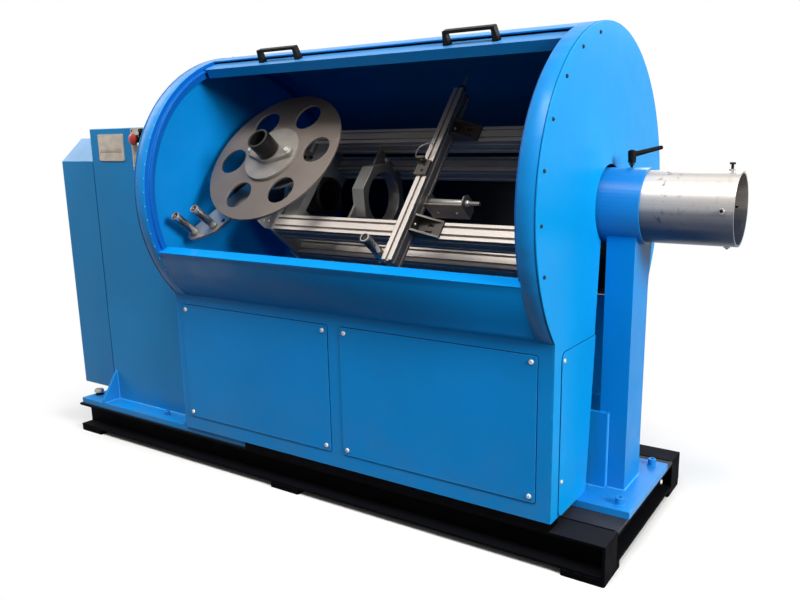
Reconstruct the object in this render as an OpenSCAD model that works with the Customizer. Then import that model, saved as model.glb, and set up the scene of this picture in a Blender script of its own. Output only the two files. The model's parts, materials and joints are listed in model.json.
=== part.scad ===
// Cable taping machine: a hooded rotor cage with a tape reel, between a drive
// column and a support column, on a welded base frame. Millimetres, +Z up.
// Machine places are measured along X from the outer face of the right end plate.

/* [Machine] */
// Height of the rotor axis above the floor
axis_h = 1000; // [960:5:1060]
// Outer radius of the hood
hood_r = 512; // [500:1:530]
// Length of the hood over its end plates
hood_len = 1500; // [1450:5:1600]
// Depth of the cabinet from front to rear
cabinet_d = 760; // [700:5:800]
// Thickness of the body sheet
sheet_t = 5; // [4:0.5:6]

/* [Base frame] */
// Reach of the base frame past the right end plate
base_reach = 160; // [150:1:180]
// Reach of the base frame past the drive column
base_reach_left = 140; // [135:1:180]
// Height of the beams
beam_h = 100; // [90:1:110]
// Width of the beam flanges
beam_w = 100; // [90:1:110]
// Thickness of the beam flanges
flange_t = 9; // [7:0.5:12]
// Thickness of the beam webs
web_t = 7; // [5:0.5:10]
// Height of the foot pads
pad_h = 20; // [12:1:30]
// Length and width of the foot pads
pad_w = 130; // [110:1:150]
// Thickness of the deck plate
deck_t = 8; // [6:0.5:12]
// Length of the deck plate
deck_len = 360; // [340:5:400]
// Thickness of the base plates and cabinet spacers
plate_t = 24; // [18:1:30]
// Width of the cabinet spacers
spacer_w = 60; // [40:1:80]

/* [Cabinet] */
// Thickness of the bolted panels
panel_t = 3; // [2:0.5:4]
// Height of the front panels
panel_h = 424; // [400:1:440]
// Gap between the front panels
panel_gap = 52; // [40:1:60]
// Margin from the right end to the right front panel
panel_margin = 49; // [40:1:60]
// Margin from the left end to the left front panel
panel_margin_left = 35; // [30:1:60]
// Height of the front panels above the cabinet bottom
panel_sill = 52; // [40:1:70]
// Corner radius of the bolted panels
panel_corner = 6; // [3:0.5:10]
// Distance of the side panels from the cabinet front
side_panel_margin = 47; // [35:1:60]
// Top of the side panels above the cabinet bottom
side_panel_h = 479; // [450:1:490]
// Corner radius of the side panels
side_panel_corner = 22; // [10:1:40]

/* [Hood] */
// Width of the rims at the hood ends
rim_w = 50; // [40:1:70]
// Depth of the rim flanges
rim_flange = 42; // [36:1:50]
// Arc of the lower shell from the cabinet to its lip
shell_arc = 21.5; // [18:0.5:24]
// Depth of the lip flange
lip_d = 45; // [35:1:50]
// Angle of the fixed cover's front edge above the front
cover_angle = 69.5; // [68:0.5:75]
// Gap between the bearing head and the keyhole in the right end plate
keyhole_gap = 10; // [6:0.5:14]
// Half width of the keyhole slot at the axis
slot_top = 58; // [50:1:70]
// Half width of the keyhole slot at the bottom
slot_foot = 128; // [118:1:140]

/* [Lid] */
// Running gap between the lid and the fixed cover
lid_gap = 6; // [5.5:0.5:8]
// Thickness of the lid sheet
lid_t = 4; // [3:0.5:5]
// Angle of the open lid's front edge
lid_angle = 62.5; // [60:0.5:65]
// Arc that the lid covers
lid_arc = 94; // [92:0.5:98]
// Depth of the lid's front flange
lid_flange = 27; // [22:1:40]
// Side gap between the lid and the rims
lid_side_gap = 6; // [5.5:0.5:10]
// Angle left between the closed lid and the lip
lid_stop = 1.6; // [1.2:0.1:2]
// Width of the curved tracks that carry the lid
track_w = 12; // [10:1:32]
// Thickness of the lid tracks
track_t = 6; // [4:0.5:8]
// Clearance of the lid above its tracks
track_clear = 0.3; // [0.2:0.05:0.5]
// Length of a lid handle between its legs
handle_len = 158; // [140:1:200]
// Height of a lid handle
handle_h = 42; // [38:1:44]
// Thickness of the handle bar
handle_bar = 9; // [8:0.5:12]
// Length of a handle foot
handle_foot = 26; // [24:1:36]
// Width of a handle
handle_w = 20; // [16:0.5:24]
// Distance of the right handle from the right end plate
handle_right = 356; // [300:1:400]
// Distance between the handles
handle_pitch = 738; // [650:1:800]

/* [Drive side] */
// Width of the drive column along the machine
drive_w = 540; // [500:5:560]
// Depth of the drive column
drive_d = 600; // [560:5:640]
// Height of the drive column's top above the axis
drive_over = 251; // [220:1:280]
// Reach of the drive base plate past the drive column
drive_plate_reach = 130; // [110:1:135]
// Reach of the drive base plate under the cabinet
drive_plate_under = 310; // [280:5:340]
// Inset of the drive base plate from the cabinet front
drive_plate_inset = 8; // [4:1:20]
// Height of the gussets
gusset_h = 126; // [100:1:150]
// Thickness of the gussets
gusset_t = 12; // [8:0.5:16]
// Width of the belt guard
guard_w = 290; // [270:5:310]
// Depth of the belt guard
guard_d = 500; // [460:5:540]
// Height of the guard's foot above the base plate
guard_lift = 14; // [10:1:30]
// Top of the guard above the axis
guard_over = 222; // [200:1:240]
// Size of the guard's sloping top edges
guard_slope = 96; // [80:1:110]
// Gap round the spindle in the guard and the left end plate
guard_gap = 12; // [8:0.5:16]
// Width of the control panel
control_w = 150; // [130:1:170]
// Height of the control panel
control_h = 154; // [140:1:160]
// Distance of the control panel from the drive column's left edge
control_in = 262; // [250:1:275]
// Gap between the control panel and the column's top
control_gap = 3; // [2:0.5:8]
// Thickness of the control panel and the info plate
control_t = 6; // [3:0.5:10]
// Width of the info plate
info_w = 155; // [140:1:165]
// Height of the info plate
info_h = 101; // [90:1:110]
// Distance of the info plate from the drive column's left edge
info_in = 53; // [45:1:60]
// Gap between the info plate and the column's top
info_gap = 22; // [15:1:30]
// Radius of the stop button's head
stop_r = 21; // [19:0.5:23]
// Travel of the stop button
stop_travel = 5; // [4:0.5:6]
// Height of the stop button's dome
stop_dome = 8; // [6:0.5:10]
// Radius of the stop button's stem
stem_r = 9; // [7:0.5:11]
// Length of the stem that shows when pressed
stem_len = 9; // [7:0.5:12]
// Distance of the stop button from the control panel's left edge
stop_in = 34; // [28:1:38]
// Height of the stop button above the control panel's foot
stop_up = 112; // [105:1:120]
// Radius of the switches
switch_r = 12; // [10:0.5:13]
// Height of the switch collars
switch_h = 10; // [8:0.5:14]
// Distance of the switches from the control panel's left edge
switch_in = 70; // [68:1:88]
// Height of the lower switch above the control panel's foot
switch_up = 94; // [84:1:98]
// Distance between the switches
switch_pitch = 40; // [32:1:44]

/* [Support side] */
// Width of the support column along the machine
post_w = 85; // [75:1:95]
// Depth of the support column
post_d = 144; // [130:1:160]
// Distance of the support column from the right end plate
post_in = 20; // [15:1:25]
// Length of the support base plate past the right end plate
foot_reach = 165; // [150:1:180]
// Length of the support base plate inside the cabinet
foot_inside = 160; // [140:5:180]
// Depth of the support base plate
foot_d = 400; // [360:5:440]
// Height of the stiffener plates
stiffener_h = 241; // [220:1:260]
// Thickness of the stiffener plates
stiffener_t = 12; // [8:0.5:14]
// Length of the stiffeners along the column
stiffener_lap = 28; // [20:1:40]
// Width of the column's rear flare at the head
flare = 24; // [16:1:32]
// Height of the flare below the head
flare_h = 130; // [100:5:160]
// Outer radius of the bearing head
head_r = 110; // [106:0.5:114]
// Reach of the bearing head past the right end plate
head_reach = 120; // [110:1:130]
// Length of the bearing head inside the hood
head_inside = 105; // [100:1:115]
// Radius step of the bearing seat inside the hood
bearing_step = 20; // [16:0.5:24]
// Length of the bearing seat
bearing_len = 60; // [54:1:70]
// Distance of the clamp stud from the right end plate
lever_x = 61; // [50:1:80]
// Height of the clamp lever's hub
lever_hub_h = 34; // [28:1:38]
// Length of the clamp lever
lever_len = 84; // [70:1:95]
// Radius of the clamp stud
stud_r = 4; // [3:0.5:5]
// Depth of the clamp stud in the head
stud_depth = 6; // [4:0.5:6]
// Length of the stud that shows under the lever
stud_show = 13; // [8:1:16]
// Radius of the lever's hub
lever_hub_r = 13; // [11:0.5:15]
// Taper of the lever's hub
lever_taper = 2; // [1:0.5:3]
// Radius of the lever at its hub
lever_arm_r = 8; // [7:0.5:9]
// Radius of the lever's tip
lever_tip_r = 6; // [5:0.5:7]
// Turn of the lever at rest
lever_swing = 30; // [10:1:45]
// Rise of the lever
lever_rise = 14; // [10:1:25]

/* [Guide tube] */
// Outer radius of the guide tube
tube_r = 103; // [100:0.5:103]
// Wall of the guide tube
tube_wall = 6; // [4:0.5:8]
// Reach of the guide tube past the right end plate
tube_reach = 370; // [340:1:400]
// Length of the guide tube inside the hood
tube_inside = 100; // [60:1:105]
// Radius of the set screws
screw_r = 5; // [4:0.5:6]
// Distance of the set screws from the tube's end
screw_in = 30; // [24:1:40]

/* [Rotor] */
// Turn of the rotor cage at rest
cage_turn = 51; // [45:0.5:60]
// Half distance between the rails across the cage face
rail_y = 190; // [180:1:200]
// Half distance between the rails through the cage
rail_z = 76; // [70:1:85]
// Width of a rail
rail_w = 60; // [50:1:64]
// Distance of the rails' left ends from the left end plate
rail_in = 346; // [330:1:360]
// Distance of the rails' right ends from the right end plate
rail_right = 96; // [94:1:110]
// Outer radius of the hollow spindle
spindle_r = 70; // [64:0.5:74]
// Bore radius of the hollow spindle
spindle_bore = 58; // [50:0.5:60]
// Distance of the spindle's nose from the left end plate
nose_in = 425; // [400:1:440]
// Thickness of the rotor's end plates
rotor_plate_t = 16; // [12:0.5:20]
// Distance of the ring plate from the left end plate
ring_in = 632; // [600:1:700]
// Half width of the octagonal ring
ring_r = 115; // [108:1:124]
// Radius of the hole in the ring
ring_hole = 89; // [80:1:95]
// Length of the octagonal ring right of its plate
ring_t = 40; // [30:1:48]
// Distance of the cross arm from the left end plate
arm_in = 928; // [900:1:960]
// Width of the cross arm
arm_w = 38; // [34:1:42]
// Depth of the cross arm
arm_d = 60; // [50:1:64]
// Length of the cross arm
arm_len = 680; // [640:5:690]
// Distance of the spindle's left end from the guard's left side
spindle_in = 10; // [5:1:20]
// Width of the rail slots at the face
slot_neck = 8; // [6:0.5:9]
// Thickness of the rail lips at a slot
slot_lip = 4; // [3:0.5:5]
// Width of the rail slots inside
slot_wide = 11; // [9.5:0.5:12]
// Depth of the rail slots
slot_deep = 8.5; // [7:0.5:9]
// Margin of the rotor plates round the rails
plate_rim = 6; // [4:0.5:10]
// Wall of the rotor's hubs
hub_wall = 30; // [24:1:38]
// Length of the spindle hub
hub_len = 40; // [30:1:50]
// Length of the bearing hub on the right plate
bearing_hub = 24; // [16:1:30]
// Length of the pointed brackets at the rails' left ends
tip_len = 82; // [60:1:90]
// Thickness of the pointed brackets
tip_t = 8; // [6:0.5:10]
// Thickness of the ring's cross plate
ring_plate_t = 8; // [6:0.5:12]

/* [Arm fittings] */
// Length of the right angle brackets
bracket_l = 92; // [80:1:100]
// Width of the angle brackets
bracket_w = 62; // [50:1:64]
// Height of the angle brackets
bracket_h = 44; // [36:1:52]
// Thickness of the angle brackets
bracket_t = 7; // [5:0.5:8]
// Length of the bracket slots
bracket_slot = 16; // [10:1:18]
// Half width of the bracket slots
bracket_hole = 4.5; // [3.5:0.5:5.5]
// Length of the tape eye's plate
eye_l = 56; // [48:1:64]
// Thickness of the tape eye's plate and lug
eye_t = 8; // [6:0.5:10]
// Overhang of the tape eye past the arm
eye_lap = 8; // [4:1:12]
// Height of the tape eye's lug
eye_h = 30; // [26:1:36]
// Radius of the tape eye
eye_r = 6; // [5:0.5:8]
// Radius of the pins and rods
pin_r = 6; // [5:0.5:7]
// Length of the rod at the arm's upper end
end_rod_len = 66; // [50:1:72]
// Length of the collar on that rod
end_rod_collar = 18; // [12:1:24]
// Distance of the arm roller from the arm's lower end
arm_roller_end = 22; // [18:1:30]
// Gap between the arm roller and the arm
arm_roller_gap = 6; // [5.5:0.5:8]
// Width of the arm roller's block
arm_block_w = 30; // [24:1:34]
// Thickness of the arm roller's block
arm_block_t = 10; // [8:0.5:12]
// Height of the arm roller's block above the cage face
arm_block_up = 10; // [4:1:14]
// Length of the tape bracket
tape_l = 138; // [120:1:150]
// Depth of the tape bracket
tape_d = 75; // [65:1:85]
// Reach of the tape bracket over the cage face
tape_over = 20; // [12:1:28]
// Width of the tape bracket's cheeks
tape_rise = 52; // [46:1:60]
// Corner size of the cheeks
tape_corner = 18; // [12:1:22]
// Thickness of the tape bracket
tape_t = 5; // [4:0.5:6]
// Place of the tape bracket across the cage
tape_y = -108; // [-112:1:-100]
// Length of the tape rod past the bracket
tape_rod_past = 46; // [30:1:50]
// Radius of the tape roller
tape_roller_r = 11; // [9:0.5:13]

/* [Reel] */
// Radius of the reel disc
reel_r = 272; // [250:1:276]
// Distance of the reel axis from the left end plate
reel_in = 328; // [318:1:345]
// Height of the reel disc above the rotor axis
reel_z = 226; // [222:1:240]
// Thickness of the reel disc
reel_t = 8; // [5:0.5:10]
// Number of lightening holes
reel_holes = 6; // [5:1:8]
// Radius of a lightening hole
reel_hole_r = 53; // [44:1:56]
// Radius of the circle of lightening holes
reel_hole_pitch = 185; // [178:1:192]
// Radius of the hub flange
hub_r = 111; // [106:1:116]
// Outer radius of the reel spindle
reel_spindle_r = 40; // [34:0.5:43]
// Length of the reel spindle above its hub
reel_spindle_len = 63; // [50:1:96]
// Radius of the guide rollers
roller_r = 15; // [12:0.5:17]
// Length of the guide rollers
roller_len = 96; // [80:1:100]
// Length of the arm roller
arm_roller_len = 118; // [100:1:122]
// Depth of the pins' ends inside the rollers
pin_end = 16; // [10:1:30]
// Height of the collars under the rollers
roller_collar = 4; // [3:0.5:5]
// Distance of the outer roller behind the reel axis
outer_back = 260; // [245:1:266]
// Distance of the outer roller to the side of the reel axis
outer_side = 302; // [296:1:304]
// Distance of the inner roller behind the reel axis
inner_back = 186; // [176:1:192]
// Distance of the inner roller to the side of the reel axis
inner_side = 268; // [262:1:272]
// Turn of the reel at rest
reel_turn = 8; // [0:1:30]
// Radius of the hub's spigot in the disc
spigot_r = 62; // [55:1:68]
// Thickness of the hub flange
hub_t = 12; // [9:0.5:15]
// Radius of the collar under the spindle
collar_r = 46; // [42:1:50]
// Distance of the hub's ears from the reel axis
ear_pitch = 86; // [76:1:90]
// Radius of the hub's ears
ear_r = 17; // [14:0.5:20]
// Thickness of the eared flange
ear_t = 14; // [10:0.5:16]
// Radius of the brake drum behind the disc
drum_r = 94; // [80:1:98]
// Height of the brake drum
drum_h = 26; // [20:1:30]
// Wall of the reel spindle
reel_spindle_wall = 8; // [6:0.5:10]

/* [Reel carrier] */
// Distance of the carrier bar from the left end plate
bar_in = 392; // [384:1:400]
// Width of the carrier bar
bar_w = 60; // [50:1:64]
// Thickness of the carrier bar
bar_t = 32; // [20:1:34]
// Height of the pedestal on the bar
pedestal_h = 60; // [54:1:64]
// Depth of the pedestal
pedestal_d = 120; // [90:1:140]
// Thickness of the carrier plate
carrier_t = 10; // [8:0.5:12]
// Radius of the carrier plate at the bar
carrier_bar_r = 70; // [60:1:80]
// Radius of the carrier plate at the reel
carrier_reel_r = 96; // [86:1:104]
// Radius of the carrier plate at the rollers
carrier_end_r = 30; // [26:1:34]
// Distance of the carrier's round holes from the reel axis
carrier_hole_y = 64; // [58:1:70]
// Radius of the carrier's round holes
carrier_hole_r = 16; // [12:0.5:20]
// Radius of the hole beside the inner roller
carrier_slot_r = 8; // [6:0.5:10]
// Place of that hole from the inner roller
carrier_slot_at = [32, 24]; // [20:1:40]
// Radius of the reel shaft
shaft_r = 20; // [16:0.5:22]

/* [Hidden] */
$fn = 96;

// Running and seating clearances, and the length that cuts run past a face
fit = 0.06;
seat = 0.2;
end_gap = 0.3;
past = 1;

// Overall places along X, from the right end plate, and the shift to the middle
left_face = -hood_len;
drive_left = left_face - drive_w;
guard_x = drive_left - guard_w;
mid_shift = -(guard_x + tube_reach) / 2;
base_left = drive_left - base_reach_left;
base_len = base_reach - base_left;

// Levels
base_top = pad_h + beam_h;
cab_z = base_top + plate_t;
cab_top = axis_h - sqrt(hood_r * hood_r - cabinet_d * cabinet_d / 4);

// Hood radii, and angles measured up from the front level
hood_foot = asin((axis_h - cab_top) / hood_r);
lip_angle = hood_foot - shell_arc;
hood_in = hood_r - sheet_t;
lid_out = hood_in - lid_gap;
lid_in = lid_out - lid_t;
rim_in = hood_r - rim_flange;
inner_right = -sheet_t - rim_w;
inner_left = left_face + sheet_t + rim_w;

module place() translate([mid_shift, 0, 0]) children();
module on_axis() translate([0, 0, axis_h]) children();
module block(x0, x1, y0, y1, z0, z1) translate([x0, y0, z0]) cube([x1 - x0, y1 - y0, z1 - z0]);
module along_x(x0, x1, r) translate([x0, 0, 0]) rotate([0, 90, 0]) cylinder(r = r, h = x1 - x0);
module upright(x) translate([x, 0, 0]) rotate([90, 0, 90]) children();

// A profile of radius and place along X, swept round the axis from angle a0 to a1
module swept(a0, a1) on_axis() rotate([0, 90, 0]) rotate([0, 0, -90 - a1])
    rotate_extrude(angle = a1 - a0) children();
module arc_sheet(r0, r1, a0, a1, x0, x1) swept(a0, a1) translate([r0, x0]) square([r1 - r0, x1 - x0]);

// A plate that stands on the axis at one angle, such as a folded flange
module radial_plate(r0, r1, a, z0, z1, x0, x1) on_axis() rotate([-a, 0, 0]) block(x0, x1, -r1, -r0, z0, z1);

module rounded(w, h, r) {
    difference() {
        square([w, h]);
        for (cx = [0, 1], cy = [0, 1])
            translate([cx * w, cy * h]) mirror([cx, 0]) mirror([0, cy]) difference() {
                square(r);
                translate([r, r]) circle(r);
            }
    }
}

// Base frame: long beams with end plates, cross beams, pads, deck and spacers
module beam_profile(w, h) {
    translate([-w / 2, 0]) square([w, flange_t]);
    translate([-w / 2, h - flange_t]) square([w, flange_t]);
    translate([-web_t / 2, 0]) square([web_t, h]);
}
module base_long_beams() color("black") place() for (side = [-1, 1])
    translate([0, side * (cabinet_d - beam_w) / 2, pad_h]) {
        upright(base_left) linear_extrude(base_len) beam_profile(beam_w, beam_h);
        block(base_reach - flange_t, base_reach, -beam_w / 2, beam_w / 2, 0, beam_h);
    }
cross_places = [base_left + beam_w / 2, left_face + beam_w, left_face / 2, -foot_inside + beam_w / 2,
    base_reach - beam_w / 2];
cross_len = cabinet_d - 2 * beam_w;
module base_cross_beams() color("black") place() for (cx = cross_places)
    translate([cx, cross_len / 2, pad_h]) rotate([90, 0, 0]) linear_extrude(cross_len)
        beam_profile(beam_w, beam_h - deck_t);
pad_places = [base_left + pad_w / 2, base_reach - base_len / 2, base_reach - pad_w / 2];
module foot_pads() color("black") place() for (px = pad_places, side = [-1, 1])
    translate([px - pad_w / 2, side * (cabinet_d - pad_w) / 2 - pad_w / 2, 0]) linear_extrude(pad_h)
        rounded(pad_w, pad_w, panel_corner);
module deck_plate() color("dimgray") place()
    block(base_reach - deck_len, base_reach, -cross_len / 2, cross_len / 2, base_top - deck_t, base_top);
plate_right = left_face + drive_plate_under;
module cabinet_spacers() color("black") place() for (side = [0, 1]) mirror([0, side, 0])
    block(plate_right, -sheet_t, -cabinet_d / 2, -cabinet_d / 2 + spacer_w, base_top, cab_z);

// Drive side: base plate with gussets, column and belt guard
drive_plate_d = cabinet_d - 2 * drive_plate_inset;
gusset_leg = (drive_plate_d - drive_d) / 2;
gusset_places = [drive_left + gusset_t, left_face - 2 * gusset_t];
module drive_base_plate() color("dodgerblue") place() {
    block(drive_left - drive_plate_reach, plate_right, -drive_plate_d / 2, drive_plate_d / 2,
        base_top, cab_z);
    for (gx = gusset_places, side = [0, 1]) mirror([0, side, 0])
        translate([gx, -drive_d / 2, cab_z]) rotate([90, 0, 90]) linear_extrude(gusset_t)
            polygon([[0, 0], [-gusset_leg, 0], [-gusset_leg, gusset_t], [0, gusset_h]]);
}
module drive_column() color("steelblue") place() difference() {
    block(drive_left, left_face, -drive_d / 2, drive_d / 2, cab_z, axis_h + drive_over);
    on_axis() along_x(drive_left - past, left_face + past, spindle_r + fit);
}
guard_foot = cab_z + guard_lift;
guard_top = axis_h + guard_over;
guard_hole = spindle_r + guard_gap;
guard_half = guard_d / 2;
module belt_guard() color("steelblue") place() difference() {
    upright(guard_x) linear_extrude(guard_w) polygon([[-guard_half, guard_foot], [guard_half, guard_foot],
        [guard_half, guard_top - guard_slope], [guard_half - guard_slope, guard_top],
        [guard_slope - guard_half, guard_top], [-guard_half, guard_top - guard_slope]]);
    on_axis() along_x(guard_x - past, drive_left + past, guard_hole);
}

// Controls on the front of the drive column, placed from its top left corner
control_x = drive_left + control_in;
control_z = axis_h + drive_over - control_gap - control_h;
control_face = -drive_d / 2 - control_t;
stop_x = control_x + stop_in;
stop_z = control_z + stop_up;
switch_cap = 4;
module facing(x, z) translate([x, control_face, z]) rotate([90, 0, 0]) children();
module control_panel() color("tan") place() difference() {
    translate([control_x, -drive_d / 2, control_z]) rotate([90, 0, 0]) linear_extrude(control_t)
        rounded(control_w, control_h, panel_corner);
    facing(stop_x, stop_z) translate([0, 0, -control_t - past])
        cylinder(r = stem_r + fit, h = control_t + 2 * past);
}
module control_switches() color("dimgray") place() for (k = [0, 1])
    facing(control_x + switch_in, control_z + switch_up + k * switch_pitch) {
        cylinder(r = switch_r, h = switch_h);
        cylinder(r = switch_r - switch_cap, h = 2 * switch_h);
    }
// Mushroom head: a slice of a ball over a straight edge
stop_edge = 6;
stop_ball = (stop_r * stop_r + stop_dome * stop_dome) / (2 * stop_dome);
stop_stem = stem_len + stop_travel;
stem_start = -control_t + stop_travel + end_gap;
module stop_button() color("red") place() facing(stop_x, stop_z) {
    translate([0, 0, stem_start]) cylinder(r = stem_r, h = stop_stem - stem_start + past);
    translate([0, 0, stop_stem]) rotate_extrude() {
        square([stop_r, stop_edge]);
        intersection() {
            translate([0, stop_edge + stop_dome - stop_ball]) circle(stop_ball);
            translate([0, stop_edge]) square([stop_r, stop_dome]);
        }
    }
}
module info_plate() color("beige") place()
    translate([drive_left + info_in, -drive_d / 2, axis_h + drive_over - info_gap - info_h])
        rotate([90, 0, 0]) linear_extrude(panel_t) rounded(info_w, info_h, panel_corner);

// Cabinet walls and panels
module cabinet_walls() color("dodgerblue") place() for (side = [0, 1]) mirror([0, side, 0])
    block(left_face + sheet_t, -sheet_t, -cabinet_d / 2, -cabinet_d / 2 + sheet_t, cab_z, cab_top);
module cabinet_floor() color("steelblue") place()
    block(left_face + sheet_t, -foot_inside - sheet_t, -cabinet_d / 2 + sheet_t, cabinet_d / 2 - sheet_t,
        cab_z, cab_z + sheet_t);
panel_w = (hood_len - panel_margin - panel_margin_left - panel_gap) / 2;
module front_panels() color("dodgerblue") place() for (k = [0, 1])
    translate([left_face + panel_margin_left + k * (panel_w + panel_gap), -cabinet_d / 2, cab_z + panel_sill])
        rotate([90, 0, 0]) linear_extrude(panel_t) rounded(panel_w, panel_h, panel_corner);

// End plates: a disc over a square foot, drawn in Y and Z
module end_outline() {
    translate([0, axis_h]) circle(hood_r, $fn = 180);
    translate([-cabinet_d / 2, cab_z]) square([cabinet_d, axis_h - cab_z]);
}
module keyhole() {
    translate([0, axis_h]) circle(head_r + keyhole_gap);
    polygon([[-slot_top, axis_h], [-slot_foot, cab_z - past], [slot_foot, cab_z - past], [slot_top, axis_h]]);
}
module left_end_plate() color("dodgerblue") place() upright(left_face) linear_extrude(sheet_t) difference() {
    end_outline();
    translate([0, axis_h]) circle(guard_hole);
}
module right_end_plate() color("deepskyblue") place() upright(-sheet_t) linear_extrude(sheet_t) difference() {
    end_outline();
    keyhole();
}
side_panel_y = cabinet_d / 2 - side_panel_margin;
module side_panels() color("deepskyblue") place() upright(0) linear_extrude(panel_t) difference() {
    translate([-side_panel_y, cab_z]) rounded(2 * side_panel_y, side_panel_h, side_panel_corner);
    keyhole();
}

// Hood: rims of channel section with a curved track for the lid, lower shell, rear and top shell
track_r = lid_in - track_clear;
track_past = 3;
closed_edge = lid_stop - lip_angle;
module rim_profile() {
    polygon([[hood_r, 0], [hood_r, rim_w], [rim_in, rim_w], [rim_in, rim_w - sheet_t],
        [hood_in, rim_w - sheet_t], [hood_in, sheet_t], [rim_in, sheet_t], [rim_in, 0]]);
}
module rim() {
    swept(-hood_foot, 180 + hood_foot) rim_profile();
    arc_sheet(track_r - track_t, track_r, closed_edge - lid_stop / 2, lid_angle + lid_arc + track_past,
        -track_w, 0);
}
module right_rim() color("dodgerblue") place() translate([inner_right, 0, 0]) rim();
module left_rim() color("dodgerblue") place() translate([inner_left, 0, 0]) mirror([1, 0, 0]) rim();
module lower_shell() color("dodgerblue") place() {
    arc_sheet(hood_in, hood_r, -hood_foot, -lip_angle, inner_left, inner_right);
    radial_plate(hood_r - lip_d, hood_r, -lip_angle, -sheet_t, 0, inner_left, inner_right);
}
module rear_shell() color("dodgerblue") place()
    arc_sheet(hood_in, hood_r, cover_angle, 180 + hood_foot, inner_left, inner_right);

// Lid: a curved sheet that slides under the fixed cover, with a folded front flange and two handles
flange_gap = track_w + lid_side_gap;
module lid_sheet() color("dodgerblue") place() {
    arc_sheet(lid_in, lid_out, lid_angle, lid_angle + lid_arc, inner_left + lid_side_gap,
        inner_right - lid_side_gap);
    radial_plate(lid_in - lid_flange, lid_out, lid_angle, 0, lid_t, inner_left + flange_gap,
        inner_right - flange_gap);
}
handle_angle = (lid_angle + cover_angle) / 2;
handle_round = 4;
handle_lean = 8;
module handle_profile() {
    foot_out = (handle_len + handle_foot) / 2;
    foot_in = (handle_len - handle_foot) / 2;
    difference() {
        offset(handle_round, $fn = 32) offset(-handle_round)
            polygon([[-foot_out, -handle_round], [foot_out, -handle_round],
                [foot_out - handle_lean, handle_h], [handle_lean - foot_out, handle_h]]);
        offset(handle_round, $fn = 32) offset(-handle_round)
            polygon([[-foot_in, -handle_h], [foot_in, -handle_h],
                [foot_in + handle_lean, handle_h - handle_bar],
                [-foot_in - handle_lean, handle_h - handle_bar]]);
        translate([-handle_len, -handle_h]) square([2 * handle_len, handle_h]);
    }
}
module lid_handles() color("black") place() for (hx = [-handle_right, -handle_right - handle_pitch])
    on_axis() rotate([-handle_angle, 0, 0]) translate([hx, -lid_out - seat, -handle_w / 2])
        mirror([0, 1, 0]) linear_extrude(handle_w) handle_profile();

// Support side: base plate, column with stiffeners, bearing head and clamp lever
module support_base_plate() color("dodgerblue") place()
    block(-foot_inside, foot_reach, -foot_d / 2, foot_d / 2, base_top, cab_z);
post_right = post_in + post_w;
post_y = post_d / 2;
flare_foot = axis_h - head_r - flare_h;
module support_column() color("dodgerblue") place() {
    difference() {
        upright(post_in) linear_extrude(post_w) polygon([[-post_y, cab_z], [post_y, cab_z],
            [post_y, flare_foot], [post_y + flare, axis_h - head_r / 2],
            [post_y + flare, axis_h - head_r / 3], [-post_y, axis_h - head_r / 3]]);
        on_axis() along_x(post_in - past, post_right + past, head_r + seat);
    }
    for (side = [0, 1]) mirror([0, side, 0])
        block(-foot_inside + sheet_t, post_in + stiffener_lap, post_y, post_y + stiffener_t,
            cab_z, cab_z + stiffener_h);
}
bearing_r = head_r + bearing_step;
stud_seat = head_r - stud_depth;
module bearing_head() color("dodgerblue") place() on_axis() difference() {
    union() {
        along_x(-head_inside, head_reach, head_r);
        along_x(-head_inside, -head_inside + bearing_len, bearing_r);
    }
    along_x(-head_inside - past, head_reach + past, tube_r + fit);
    translate([lever_x, 0, stud_seat - end_gap]) cylinder(r = stud_r + fit, h = head_r);
}
lever_base = head_r + stud_show;
lever_root = lever_hub_h * 2 / 3;
module lever_arm() translate([0, 0, lever_root]) rotate([0, 90 - lever_rise, lever_swing]) children();
module clamp_lever() color("black") place() on_axis() translate([lever_x, 0, 0]) {
    translate([0, 0, stud_seat]) cylinder(r = stud_r, h = lever_base - stud_seat + past);
    translate([0, 0, lever_base]) {
        cylinder(r1 = lever_hub_r - lever_taper, r2 = lever_hub_r, h = lever_hub_h);
        lever_arm() cylinder(r1 = lever_arm_r, r2 = lever_tip_r, h = lever_len);
        lever_arm() translate([0, 0, lever_len]) sphere(lever_tip_r);
    }
}
module guide_tube() color("silver") place() on_axis() difference() {
    along_x(-tube_inside, tube_reach, tube_r);
    along_x(-tube_inside - past, tube_reach + past, tube_r - tube_wall);
    for (a = [0 : 90 : 270]) rotate([a, 0, 0]) translate([tube_reach - screw_in, 0, 0])
        cylinder(r = screw_r, h = tube_r + past);
}

// Rotor places along X and in the cage's own frame, where Z stands on the cage face
rail_left = left_face + rail_in;
spindle_nose = left_face + nose_in;
ring_x = left_face + ring_in;
arm_x = left_face + arm_in;
reel_x = left_face + reel_in;
bar_x = left_face + bar_in;
rail_half = rail_w / 2;
cage_face = rail_z + rail_half;
arm_face = cage_face + arm_d;
module in_cage() place() on_axis() rotate([cage_turn, 0, 0]) children();

// Rotor: hollow spindle, end plates and slotted rails
module main_spindle() color("dimgray") place() on_axis() difference() {
    along_x(guard_x + spindle_in, spindle_nose, spindle_r);
    along_x(guard_x, spindle_nose + past, spindle_bore);
}
module slot_cut() {
    translate([-slot_neck / 2, -slot_lip]) square([slot_neck, slot_lip + past]);
    translate([-slot_wide / 2, -slot_deep]) square([slot_wide, slot_deep - slot_lip + past / 2]);
}
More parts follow.
